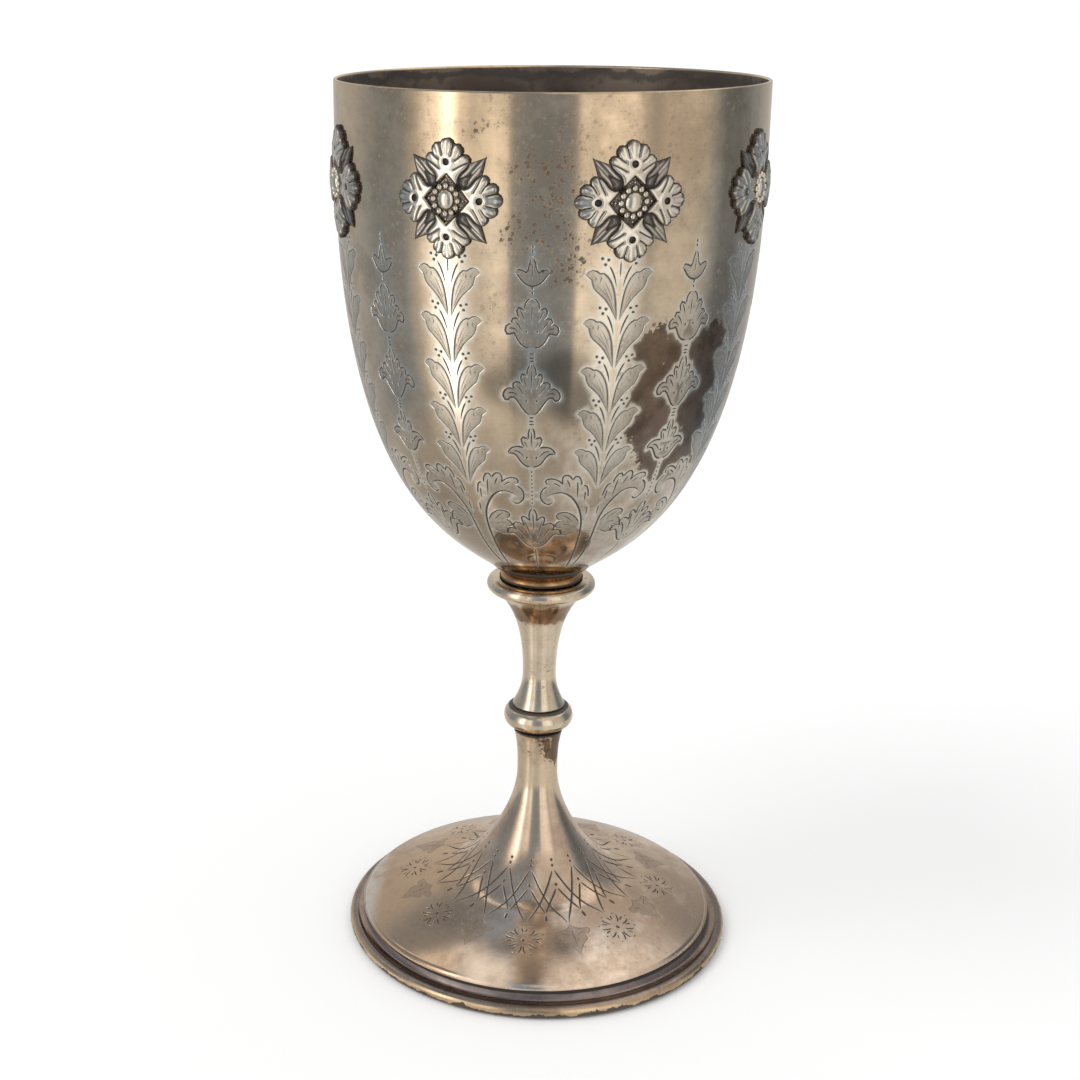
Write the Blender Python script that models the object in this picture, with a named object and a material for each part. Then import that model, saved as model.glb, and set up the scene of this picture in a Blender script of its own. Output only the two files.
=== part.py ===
"""Silver presentation goblet: a raised bowl with eight applied rosettes, a cast stem and a spun foot.

Metres, +Z up. The origin is the centre of the ring that the goblet stands on.
The front is -Y, and a plain panel between two rosettes faces it.
"""
import math

import bmesh
import bpy

# Solder gap between pieces that seat on each other
SEAT_GAP = 0.0003

# Facets round the large turned pieces and round the stem
LARGE_FACETS = 36
STEM_FACETS = 28

# Foot rim, the moulded ring that the goblet stands on
RIM_HEIGHT = 0.0043
RIM_RISER = 0.0004
RIM_SPREAD = 0.0042
RIM_BEAD_RADIUS = 0.0013
RIM_WIDTH_INSIDE = 0.0019

# Foot, a hollow dome drawn up into the lower stem
# Handles of its curves are shares of the dome's reach and rise, or of their own length
DOME_RADIUS = 0.0376
DOME_OVERHANG = 0.0005
DOME_EDGE = 0.00045
DOME_WALL = 0.0008
DOME_RISE = 0.0064
DOME_SHOULDER_RADIUS = 0.0196
WAIST_RADIUS = 0.00425
WAIST_RISE = 0.02425
LOWER_STEM_LENGTH = 0.0095
LOWER_STEM_TOP_RADIUS = 0.0052
HOLLOW_REACH = 0.0180
DOME_EDGE_HANDLE = (0.34, 0.45)
DOME_SHOULDER_HANDLE = (0.38, 0.26)
FLARE_SHOULDER_HANDLE = (0.32, 0.22)
FLARE_WAIST_HANDLE = 0.425
NECK_HANDLE = 0.38
SKIRT_SLOPE = 0.45

# Knop, the ring between the two lengths of stem
KNOP_RADIUS = 0.00725
KNOP_CORE_RADIUS = 0.0049
KNOP_HEIGHT = 0.0046
KNOP_FILLET_RADIUS = 0.0047
KNOP_FILLET_HEIGHT = 0.0005

# Upper stem, with the flange that carries the bowl
STEM_FOOT_RADIUS = 0.0055
STEM_WAIST_RADIUS = 0.00346
STEM_WAIST_RISE = 0.0071
STEM_FLARE_RISE = 0.0184
FLANGE_RADIUS = 0.01115
FLANGE_EDGE_RADIUS = 0.0014
FLANGE_LIP = 0.25 * FLANGE_EDGE_RADIUS
STEM_FOOT_HANDLE = (0.64, 0.32)
STEM_WAIST_HANDLE = 0.35
STEM_FLARE_HANDLE = 0.49
STEM_FLANGE_HANDLE = (0.34, 0.82)

# Collar between the flange and the bowl
COLLAR_HEIGHT = 0.0025
COLLAR_FOOT_RADIUS = 0.0086
COLLAR_TOP_RADIUS = 0.0094
COLLAR_HOLLOW = 0.0004

# Pins that register the pieces of the stem
KNOP_PIN_RADIUS = 0.0018
KNOP_PIN_LENGTH = 0.0030
BOWL_PIN_RADIUS = 0.0030

# Bowl
BOWL_RADIUS = 0.0410
BOWL_HEIGHT = 0.0965
BOWL_BELLY_HEIGHT = 0.0822
BOWL_SEAT_RADIUS = 0.0100
BOWL_WALL = 0.0007
BOWL_FLOOR = 0.0011
BOWL_SEAT_HANDLE = (0.21, 0.075)
BOWL_BELLY_HANDLE = 0.155
DISH_HANDLES = (0.75, 0.4)

# Rosettes: centre below the lip, and heights above the bowl's skin
ROSETTE_COUNT = 8
ROSETTE_TURN = math.radians(22.5)
ROSETTE_DROP = 0.0181
ROSETTE_EDGE_HEIGHT = 0.00062
ROSETTE_VALLEY_HEIGHT = 0.00066
ROSETTE_FRAME_HEIGHT = 0.00115
ROSETTE_GROUND_HEIGHT = 0.00080
ROSETTE_PEARL_HEIGHT = 0.00125
ROSETTE_CABOCHON_HEIGHT = 0.00155
ROSETTE_FRAME_RADIUS = 0.0041
ROSETTE_FRAME_WAIST = 0.0033
ROSETTE_PEARL_RING = 0.0024
ROSETTE_PEARL_RADIUS = 0.00045
ROSETTE_CABOCHON_RADIUS = 0.0013
ROSETTE_PEARLS = 12
ROSETTE_CREST = 0.80
ROSETTE_FRAME_FOOT = 1.12
ROSETTE_FRAME_POINT = 1.6
PEARL_GROOVE = 1.2
CABOCHON_CROWN = 0.55
CABOCHON_CROWN_DROP = 0.12

# Half a quarter of the rosette, from the tip of an acanthus lobe (0 degrees) over its
# scallops to the tip of the pointed leaf (45 degrees): degrees, radius, height of the crest
ROSETTE_OUTLINE = (
    (0.0, 0.01005, 0.00118),
    (6.5, 0.0095, 0.00104),
    (9.5, 0.0087, 0.00082),
    (14.5, 0.0092, 0.00108),
    (20.0, 0.0080, 0.00078),
    (26.5, 0.0082, 0.00100),
    (33.0, 0.0072, 0.00066),
    (38.5, 0.0083, 0.00070),
    (45.0, 0.0096, 0.00092),
)

# Levels up the axis, each from the piece below it
FOOT_BASE = RIM_HEIGHT + SEAT_GAP
FOOT_HEIGHT = DOME_EDGE + DOME_RISE + WAIST_RISE + LOWER_STEM_LENGTH
KNOP_BASE = FOOT_BASE + FOOT_HEIGHT + SEAT_GAP
KNOP_TOTAL = KNOP_FILLET_HEIGHT + KNOP_HEIGHT
STEM_BASE = KNOP_BASE + KNOP_TOTAL + SEAT_GAP
STEM_HEIGHT = STEM_WAIST_RISE + STEM_FLARE_RISE + 2.0 * FLANGE_EDGE_RADIUS
COLLAR_BASE = STEM_BASE + STEM_HEIGHT + SEAT_GAP
BOWL_BASE = COLLAR_BASE + COLLAR_HEIGHT + SEAT_GAP

# Sizes that follow from their neighbours
RIM_NECK_RADIUS = DOME_RADIUS - DOME_OVERHANG
RIM_BORE_RADIUS = RIM_NECK_RADIUS - RIM_WIDTH_INSIDE
KNOP_SOCKET_RADIUS = KNOP_PIN_RADIUS + SEAT_GAP
KNOP_SOCKET_DEPTH = KNOP_PIN_LENGTH + SEAT_GAP
COLLAR_BORE_RADIUS = BOWL_PIN_RADIUS + SEAT_GAP
BOWL_PIN_LENGTH = SEAT_GAP + COLLAR_HEIGHT

WELD = 1e-6


def arc(centre, radii, start, end, steps):
    """Points on an elliptical arc from start to end degrees."""
    points = []
    for step in range(steps + 1):
        angle = math.radians(start + (end - start) * step / steps)
        points.append((centre[0] + radii[0] * math.cos(angle), centre[1] + radii[1] * math.sin(angle)))
    return points


def curve_point(handles, t):
    """Point at t on the cubic curve with four (radius, height) handles."""
    weights = ((1 - t) ** 3, 3 * (1 - t) ** 2 * t, 3 * (1 - t) * t ** 2, t ** 3)
    radius = sum(weight * handle[0] for weight, handle in zip(weights, handles))
    height = sum(weight * handle[1] for weight, handle in zip(weights, handles))
    return radius, height


def curve(handles, steps):
    """Evenly stepped points along a cubic curve, both ends included."""
    return [curve_point(handles, step / steps) for step in range(steps + 1)]


def offset(points, distance):
    """Points moved by distance to the left of the direction in which the outline runs."""
    moved = []
    for index, (radius, height) in enumerate(points):
        before = points[max(index - 1, 0)]
        after = points[min(index + 1, len(points) - 1)]
        along_r = after[0] - before[0]
        along_z = after[1] - before[1]
        length = math.hypot(along_r, along_z)
        moved.append((radius - distance * along_z / length, height + distance * along_r / length))
    return moved


def silver(name, colour, roughness):
    """Toned silver in one colour."""
    material = bpy.data.materials.new(name)
    material.use_nodes = True
    shader = material.node_tree.nodes["Principled BSDF"]
    shader.inputs["Base Color"].default_value = (*colour, 1.0)
    shader.inputs["Metallic"].default_value = 1.0
    shader.inputs["Roughness"].default_value = roughness
    return material


def place(name, mesh, height):
    """Object for a mesh, standing at its height on the axis."""
    piece = bpy.data.objects.new(name, mesh)
    bpy.context.scene.collection.objects.link(piece)
    piece.location.z = height
    return piece


def finish(name, shape, material):
    """Mesh of a finished shape, smooth except at its turned edges."""
    bmesh.ops.remove_doubles(shape, verts=shape.verts, dist=WELD)
    bmesh.ops.recalc_face_normals(shape, faces=shape.faces)
    mesh = bpy.data.meshes.new(name)
    shape.to_mesh(mesh)
    shape.free()
    mesh.materials.append(material)
    mesh.shade_smooth()
    mesh.set_sharp_from_angle(angle=math.radians(38.0))
    return mesh


def turn(name, outline, facets, height, material):
    """Spin an outline of (radius, height) points once round the axis."""
    shape = bmesh.new()
    points = [shape.verts.new((radius, 0.0, level)) for radius, level in outline]
    edges = [shape.edges.new(pair) for pair in zip(points, points[1:])]
    if outline[0][0] > WELD:
        edges.append(shape.edges.new((points[-1], points[0])))
    bmesh.ops.spin(
        shape,
        geom=points + edges,
        cent=(0.0, 0.0, 0.0),
        axis=(0.0, 0.0, 1.0),
        angle=math.tau,
        steps=facets,
        use_merge=True,
    )
    return place(name, finish(name, shape, material), height)


def foot_rim():
    """Ring with a bead at its foot and a cavetto up to the dome's seat."""
    bead = (RIM_NECK_RADIUS + RIM_SPREAD - RIM_BEAD_RADIUS, RIM_BEAD_RADIUS)
    bead_round = arc(bead, (RIM_BEAD_RADIUS, RIM_BEAD_RADIUS), 125.0, -90.0, 7)
    cavetto_top = (RIM_NECK_RADIUS, RIM_HEIGHT - RIM_RISER)
    hollow = (RIM_NECK_RADIUS + 0.1 * RIM_SPREAD, bead_round[0][1])
    cavetto = curve((cavetto_top, hollow, hollow, bead_round[0]), 4)
    outline = [(RIM_BORE_RADIUS, 0.0), (RIM_BORE_RADIUS, RIM_HEIGHT), (RIM_NECK_RADIUS, RIM_HEIGHT)]
    outline += cavetto[:-1] + bead_round
    return turn("foot_rim", outline, LARGE_FACETS, 0.0, silver("rim_silver", (0.50, 0.42, 0.34), 0.32))


def foot():
    """Dome, flare and lower stem in one spun shell, with a socket for the knop's pin."""
    shoulder = (DOME_SHOULDER_RADIUS, DOME_EDGE + DOME_RISE)
    waist = (WAIST_RADIUS, shoulder[1] + WAIST_RISE)
    top = (LOWER_STEM_TOP_RADIUS, FOOT_HEIGHT)
    edge = (DOME_RADIUS, DOME_EDGE)
    reach = DOME_RADIUS - DOME_SHOULDER_RADIUS
    edge_handle = (edge[0] - DOME_EDGE_HANDLE[0] * reach, edge[1] + DOME_EDGE_HANDLE[1] * DOME_RISE)
    shoulder_handle = (
        shoulder[0] + DOME_SHOULDER_HANDLE[0] * reach,
        shoulder[1] - DOME_SHOULDER_HANDLE[1] * DOME_RISE,
    )
    dome = curve((edge, edge_handle, shoulder_handle, shoulder), 6)
    flare_handle = (
        shoulder[0] - FLARE_SHOULDER_HANDLE[0] * reach,
        shoulder[1] + FLARE_SHOULDER_HANDLE[1] * DOME_RISE,
    )
    waist_handle = (WAIST_RADIUS, waist[1] - FLARE_WAIST_HANDLE * WAIST_RISE)
    flare = curve((shoulder, flare_handle, waist_handle, waist), 8)
    neck_low = (WAIST_RADIUS, waist[1] + NECK_HANDLE * LOWER_STEM_LENGTH)
    neck_high = (WAIST_RADIUS, top[1] - NECK_HANDLE * LOWER_STEM_LENGTH)
    neck = curve((waist, neck_low, neck_high, top), 4)
    shell = dome + flare[1:]
    hollow_top = shoulder[1] + HOLLOW_REACH
    bore_radius = RIM_BORE_RADIUS
    inside = []
    for radius, height in offset(shell, DOME_WALL):
        if radius < bore_radius - DOME_WALL and height < hollow_top:
            inside.append((radius, height))
    skirt = (bore_radius, inside[0][1] - SKIRT_SLOPE * (bore_radius - inside[0][0]))
    socket_floor = FOOT_HEIGHT - KNOP_SOCKET_DEPTH
    outline = [(0.0, socket_floor), (KNOP_SOCKET_RADIUS, socket_floor), (KNOP_SOCKET_RADIUS, FOOT_HEIGHT)]
    outline += neck[::-1] + flare[-2::-1] + dome[-2::-1]
    outline += [(DOME_RADIUS, 0.0), (bore_radius, 0.0), skirt]
    outline += inside
    outline += [(inside[-1][0], hollow_top), (0.0, hollow_top)]
    return turn("foot", outline, LARGE_FACETS, FOOT_BASE, silver("foot_silver", (0.62, 0.52, 0.44), 0.26))


def knop():
    """Cushion ring on a thin fillet, with a pin above and below."""
    middle = KNOP_FILLET_HEIGHT + 0.5 * KNOP_HEIGHT
    swell = (KNOP_RADIUS - KNOP_CORE_RADIUS, 0.5 * KNOP_HEIGHT)
    outline = [
        (0.0, -KNOP_PIN_LENGTH),
        (KNOP_PIN_RADIUS, -KNOP_PIN_LENGTH),
        (KNOP_PIN_RADIUS, 0.0),
        (KNOP_FILLET_RADIUS, 0.0),
        (KNOP_FILLET_RADIUS, KNOP_FILLET_HEIGHT),
    ]
    outline += arc((KNOP_CORE_RADIUS, middle), swell, -90.0, 90.0, 8)
    outline += [
        (KNOP_PIN_RADIUS, KNOP_TOTAL),
        (KNOP_PIN_RADIUS, KNOP_TOTAL + KNOP_PIN_LENGTH),
        (0.0, KNOP_TOTAL + KNOP_PIN_LENGTH),
    ]
    return turn("knop", outline, STEM_FACETS, KNOP_BASE, silver("knop_silver", (0.66, 0.56, 0.46), 0.24))


def stem_upper():
    """Waisted stem that flares into the flange, with a pin through the collar."""
    waist = (STEM_WAIST_RADIUS, STEM_WAIST_RISE)
    flange_low = STEM_WAIST_RISE + STEM_FLARE_RISE
    flange_round = (FLANGE_RADIUS - FLANGE_EDGE_RADIUS, flange_low + FLANGE_EDGE_RADIUS)
    flare_end = (flange_round[0] - FLANGE_LIP, flange_low)
    narrowing = STEM_FOOT_RADIUS - STEM_WAIST_RADIUS
    foot_handle = (
        STEM_FOOT_RADIUS - STEM_FOOT_HANDLE[0] * narrowing,
        STEM_FOOT_HANDLE[1] * STEM_WAIST_RISE,
    )
    low_handle = (STEM_WAIST_RADIUS, STEM_WAIST_RISE - STEM_WAIST_HANDLE * STEM_WAIST_RISE)
    base_flare = curve(((STEM_FOOT_RADIUS, 0.0), foot_handle, low_handle, waist), 5)
    spread = flare_end[0] - STEM_WAIST_RADIUS
    high_handle = (STEM_WAIST_RADIUS, STEM_WAIST_RISE + STEM_FLARE_HANDLE * STEM_FLARE_RISE)
    flange_handle = (
        STEM_WAIST_RADIUS + STEM_FLANGE_HANDLE[0] * spread,
        STEM_WAIST_RISE + STEM_FLANGE_HANDLE[1] * STEM_FLARE_RISE,
    )
    top_flare = curve((waist, high_handle, flange_handle, flare_end), 7)
    socket = [(0.0, KNOP_SOCKET_DEPTH), (KNOP_SOCKET_RADIUS, KNOP_SOCKET_DEPTH), (KNOP_SOCKET_RADIUS, 0.0)]
    outline = socket + base_flare + top_flare[1:]
    outline += arc(flange_round, (FLANGE_EDGE_RADIUS, FLANGE_EDGE_RADIUS), -90.0, 90.0, 6)
    outline += [
        (BOWL_PIN_RADIUS, STEM_HEIGHT),
        (BOWL_PIN_RADIUS, STEM_HEIGHT + BOWL_PIN_LENGTH),
        (0.0, STEM_HEIGHT + BOWL_PIN_LENGTH),
    ]
    material = silver("stem_silver", (0.64, 0.55, 0.44), 0.24)
    return turn("stem_upper", outline, STEM_FACETS, STEM_BASE, material)


def bowl_collar():
    """Waisted ring that the bowl stands on."""
    middle = 0.5 * COLLAR_HEIGHT
    throat = min(COLLAR_FOOT_RADIUS, COLLAR_TOP_RADIUS) - COLLAR_HOLLOW
    side = curve(
        (
            (COLLAR_FOOT_RADIUS, 0.0),
            (throat, 0.5 * middle),
            (throat, middle),
            (COLLAR_TOP_RADIUS, COLLAR_HEIGHT),
        ),
        5,
    )
    outline = [(COLLAR_BORE_RADIUS, 0.0)] + side + [(COLLAR_BORE_RADIUS, COLLAR_HEIGHT)]
    material = silver("collar_gilt", (0.55, 0.38, 0.17), 0.28)
    return turn("bowl_collar", outline, STEM_FACETS, COLLAR_BASE, material)


def bowl_handles():
    """Handles of the curve from the bowl's seat to where its side runs straight up."""
    widening = BOWL_RADIUS - BOWL_SEAT_RADIUS
    return (
        (BOWL_SEAT_RADIUS, 0.0),
        (BOWL_SEAT_RADIUS + BOWL_SEAT_HANDLE[0] * widening, BOWL_SEAT_HANDLE[1] * BOWL_BELLY_HEIGHT),
        (BOWL_RADIUS, BOWL_BELLY_HANDLE * BOWL_BELLY_HEIGHT),
        (BOWL_RADIUS, BOWL_BELLY_HEIGHT),
    )


def bowl_radius_at(height):
    """Outer radius of the bowl at a height above its seat."""
    if height >= BOWL_BELLY_HEIGHT:
        return BOWL_RADIUS
    low, high = 0.0, 1.0
    for _ in range(40):
        middle = 0.5 * (low + high)
        if curve_point(bowl_handles(), middle)[1] < height:
            low = middle
        else:
            high = middle
    return curve_point(bowl_handles(), low)[0]


def bowl():
    """Raised bowl of even wall, with a rounded lip and a dished floor."""
    outer = curve(bowl_handles(), 13)
    half_wall = 0.5 * BOWL_WALL
    lip = arc((BOWL_RADIUS - half_wall, BOWL_HEIGHT - half_wall), (half_wall, half_wall), 0.0, 180.0, 4)
    inner = [point for point in offset(outer, BOWL_WALL)[:0:-1] if point[1] > 2.0 * BOWL_FLOOR]
    last = inner[-1]
    dish_handles = [(share * last[0], BOWL_FLOOR) for share in DISH_HANDLES]
    dish = curve((last, *dish_handles, (0.0, BOWL_FLOOR)), 4)
    outline = [(0.0, 0.0)] + outer + lip + inner + dish[1:]
    return turn("bowl", outline, LARGE_FACETS, BOWL_BASE, silver("bowl_silver", (0.60, 0.52, 0.42), 0.25))


def rosette_angles():
    """Outline of the whole rosette: angle from the upper lobe in degrees, radius, crest height."""
    half = list(ROSETTE_OUTLINE)
    quarter = half + [(90.0 - angle, radius, crest) for angle, radius, crest in half[-2:0:-1]]
    outline = []
    for turn_index in range(4):
        for angle, radius, crest in quarter:
            outline.append((90.0 * turn_index + angle, radius, crest))
    return outline


def wrap(angle, radius, lift):
    """Point on the front of the bowl: polar place on the rosette, lifted off the bowl's skin."""
    across = radius * math.sin(math.radians(angle))
    height = BOWL_HEIGHT - ROSETTE_DROP + radius * math.cos(math.radians(angle))
    reach = bowl_radius_at(height) + lift
    turned = across / BOWL_RADIUS
    return reach * math.sin(turned), -reach * math.cos(turned), height


def frame_radius(angle):
    """Radius of the curved lozenge frame, longest at its four points."""
    point_share = abs(math.cos(math.radians(2.0 * angle))) ** ROSETTE_FRAME_POINT
    return ROSETTE_FRAME_WAIST + (ROSETTE_FRAME_RADIUS - ROSETTE_FRAME_WAIST) * point_share


def rosette_mesh(material):
    """One rosette, lofted from its back over its lobes and frame to the cabochon."""
    shape = bmesh.new()
    beads = 2 * ROSETTE_PEARLS
    fine = rosette_angles()
    coarse = [360.0 * step / beads for step in range(beads)]

    def ring(points):
        verts = [shape.verts.new(wrap(*point)) for point in points]
        return [shape.edges.new(pair) for pair in zip(verts, verts[1:] + verts[:1])]

    def even_ring(radius, lift):
        return ring([(angle, radius, lift) for angle in coarse])

    crest = [(angle, ROSETTE_CREST * radius, lift) for angle, radius, lift in fine]
    groove = ROSETTE_PEARL_RING - PEARL_GROOVE * ROSETTE_PEARL_RADIUS
    ground = ROSETTE_PEARL_RING + PEARL_GROOVE * ROSETTE_PEARL_RADIUS
    pearls = []
    for index, angle in enumerate(coarse):
        lift = ROSETTE_GROUND_HEIGHT if index % 2 else ROSETTE_PEARL_HEIGHT
        pearls.append((angle, ROSETTE_PEARL_RING, lift))
    cabochon = ROSETTE_CABOCHON_RADIUS
    rise = ROSETTE_CABOCHON_HEIGHT - ROSETTE_GROUND_HEIGHT
    dome_side = ROSETTE_GROUND_HEIGHT + 0.5 * rise
    valley = [(angle, ROSETTE_FRAME_FOOT * frame_radius(angle), ROSETTE_VALLEY_HEIGHT) for angle in coarse]
    crown = ROSETTE_CABOCHON_HEIGHT - CABOCHON_CROWN_DROP * rise
    rings = [
        even_ring(0.5 * ROSETTE_OUTLINE[0][1], SEAT_GAP),
        ring([(angle, radius, SEAT_GAP) for angle, radius, _ in fine]),
        ring([(angle, radius, ROSETTE_EDGE_HEIGHT) for angle, radius, _ in fine]),
        ring(crest),
        ring(valley),
        ring([(angle, frame_radius(angle), ROSETTE_FRAME_HEIGHT) for angle in coarse]),
        even_ring(ground, ROSETTE_GROUND_HEIGHT),
        ring(pearls),
        even_ring(groove, ROSETTE_GROUND_HEIGHT),
        even_ring(cabochon, dome_side),
        even_ring(CABOCHON_CROWN * cabochon, crown),
    ]
    for lower, upper in zip(rings, rings[1:]):
        bmesh.ops.bridge_loops(shape, edges=lower + upper)
    caps = ((rings[0], SEAT_GAP), (rings[-1], ROSETTE_CABOCHON_HEIGHT))
    for edges, lift in caps:
        centre = shape.verts.new(wrap(0.0, 0.0, lift))
        for edge in edges:
            shape.faces.new((edge.verts[0], edge.verts[1], centre))
    return finish("rosette", shape, material)


def rosettes(carrier):
    """Eight equal rosettes evenly round the bowl, carried by it."""
    mesh = rosette_mesh(silver("rosette_silver", (0.58, 0.52, 0.44), 0.30))
    for index in range(ROSETTE_COUNT):
        piece = place(f"rosette_{index + 1}", mesh, 0.0)
        piece.parent = carrier
        piece.rotation_euler.z = ROSETTE_TURN + math.tau * index / ROSETTE_COUNT


def main():
    for thing in list(bpy.data.objects):
        bpy.data.objects.remove(thing, do_unlink=True)
    foot_rim()
    foot()
    knop()
    stem_upper()
    bowl_collar()
    rosettes(bowl())


main()
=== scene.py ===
import math

import bmesh
import bpy
import numpy as np
from mathutils import Matrix, Vector
from mathutils.geometry import delaunay_2d_cdt


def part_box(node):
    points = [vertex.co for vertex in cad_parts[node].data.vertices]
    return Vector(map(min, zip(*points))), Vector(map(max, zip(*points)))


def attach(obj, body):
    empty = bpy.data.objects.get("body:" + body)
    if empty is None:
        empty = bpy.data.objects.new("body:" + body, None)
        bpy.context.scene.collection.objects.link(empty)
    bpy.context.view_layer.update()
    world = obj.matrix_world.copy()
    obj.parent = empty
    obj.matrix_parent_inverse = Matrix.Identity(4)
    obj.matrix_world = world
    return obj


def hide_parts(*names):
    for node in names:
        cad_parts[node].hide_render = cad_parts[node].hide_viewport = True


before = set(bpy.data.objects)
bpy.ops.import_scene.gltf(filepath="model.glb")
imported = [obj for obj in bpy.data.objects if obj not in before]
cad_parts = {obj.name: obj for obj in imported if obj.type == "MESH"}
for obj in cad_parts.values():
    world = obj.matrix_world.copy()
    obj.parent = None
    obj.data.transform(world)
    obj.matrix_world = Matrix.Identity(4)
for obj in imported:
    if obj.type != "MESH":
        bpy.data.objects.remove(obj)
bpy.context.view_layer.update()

MM = 0.001
SECTORS = 8
HALF_SECTOR = math.pi / SECTORS

# Camera, fitted to the lip and the foot in the photograph
CAMERA_PLACE = (0.01406, -0.33539, 0.19902)
CAMERA_TURN = 0.1060
CAMERA_DOWN = 0.3227
CAMERA_LENS = 57.454
CAMERA_SHIFT = 0.0954
CAMERA_AZIMUTH = math.radians(2.4)

# Sizes in millimetres, as the solids have them
BOWL_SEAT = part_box("bowl")[0].z / MM
BOWL_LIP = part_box("bowl")[1].z / MM
BOWL_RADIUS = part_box("bowl")[1].x / MM
BOWL_BELLY = BOWL_SEAT + 82.2
BOWL_SEAT_RADIUS = 10.0
BOWL_WALL = 0.7
FOOT_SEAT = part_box("foot")[0].z / MM
FOOT_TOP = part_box("foot")[1].z / MM
FOOT_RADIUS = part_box("foot")[1].x / MM
FOOT_WALL = 0.8
HOLLOW_RADIUS, HOLLOW_RISE = 35.2, 18.0
PIN_RADIUS, PIN_REACH, PIN_LENGTH = 1.8, 2.9, 3.0
SOCKET_RADIUS, SOCKET_DEPTH = 2.1, 3.3
KNOP_LOW, KNOP_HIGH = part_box("knop")[0].z / MM + PIN_LENGTH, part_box("knop")[1].z / MM - PIN_LENGTH

# Meshing of the engraving, in millimetres: points closer than CROWDED are merged
CROWDED = 0.02
STROKE_REACH = 2.5
# Marks for the finishes: depth of a full cut, reach of its halo, and the least share and reach of matting
FULL_CUT, HALO_REACH = 0.1, 0.7
MATT_LEAST, MATT_REACH = 0.25, 1.5
# Edges of turned pieces sharper than this angle in degrees stay sharp
TURNED_SHARP = 40.0


def curve(handles, steps):
    """Points along a cubic curve with four (radius, height) handles."""
    t = np.linspace(0.0, 1.0, steps + 1)[:, None]
    points = np.array(handles, float)
    weights = np.hstack([(1 - t) ** 3, 3 * (1 - t) ** 2 * t, 3 * (1 - t) * t ** 2, t ** 3])
    return weights @ points


def arc(centre, radius, start, end, steps):
    """Points on an arc of (radius, height) from start to end degrees."""
    angles = np.radians(np.linspace(start, end, steps + 1))
    return np.column_stack([centre[0] + radius * np.cos(angles), centre[1] + radius * np.sin(angles)])


class Side:
    """A turned side: its outline, its normals and its length in angles of its own radius."""

    def __init__(self, outline):
        points = np.array(outline, float)
        steps = np.diff(points, axis=0)
        lengths = np.hypot(steps[:, 0], steps[:, 1])
        middle = 0.5 * (points[1:, 0] + points[:-1, 0])
        self.radius = points[:, 0]
        self.height = points[:, 1]
        self.reach = np.concatenate([[0.0], np.cumsum(lengths / middle)])
        slope = np.gradient(points, axis=0)
        size = np.hypot(slope[:, 0], slope[:, 1])
        self.normal = np.column_stack([slope[:, 1] / size, -slope[:, 0] / size])

    def at(self, reach):
        return (
            np.interp(reach, self.reach, self.radius),
            np.interp(reach, self.reach, self.height),
            np.interp(reach, self.reach, self.normal[:, 0]),
            np.interp(reach, self.reach, self.normal[:, 1]),
        )

    def reach_of_height(self, height):
        return np.interp(height, self.height, self.reach)


def smooth(points, step):
    """Evenly stepped points on a smooth line through the drawn points."""
    points = np.array(points, float)
    padded = np.vstack([2 * points[0] - points[1], points, 2 * points[-1] - points[-2]])
    dense = []
    for before, start, end, after in zip(padded, padded[1:], padded[2:], padded[3:]):
        for t in np.linspace(0.0, 1.0, 10, endpoint=False):
            dense.append(
                0.5
                * (
                    2 * start
                    + (end - before) * t
                    + (2 * before - 5 * start + 4 * end - after) * t ** 2
                    + (3 * start - before - 3 * end + after) * t ** 3
                )
            )
    dense = np.array(dense + [points[-1]])
    along = np.concatenate([[0.0], np.cumsum(np.hypot(*np.diff(dense, axis=0).T))])
    count = max(2, round(along[-1] / step))
    marks = np.linspace(0.0, along[-1], count + 1)
    return np.column_stack([np.interp(marks, along, dense[:, 0]), np.interp(marks, along, dense[:, 1])])


def gap_to(places, line):
    """Distance from places to a line of points."""
    start, along = line[:-1], np.diff(line, axis=0)
    offset = places[:, None, :] - start[None]
    size = (along ** 2).sum(1) + 1e-12
    share = np.clip((offset * along[None]).sum(2) / size[None], 0.0, 1.0)
    return np.linalg.norm(offset - share[..., None] * along[None], axis=2).min(1)


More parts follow.
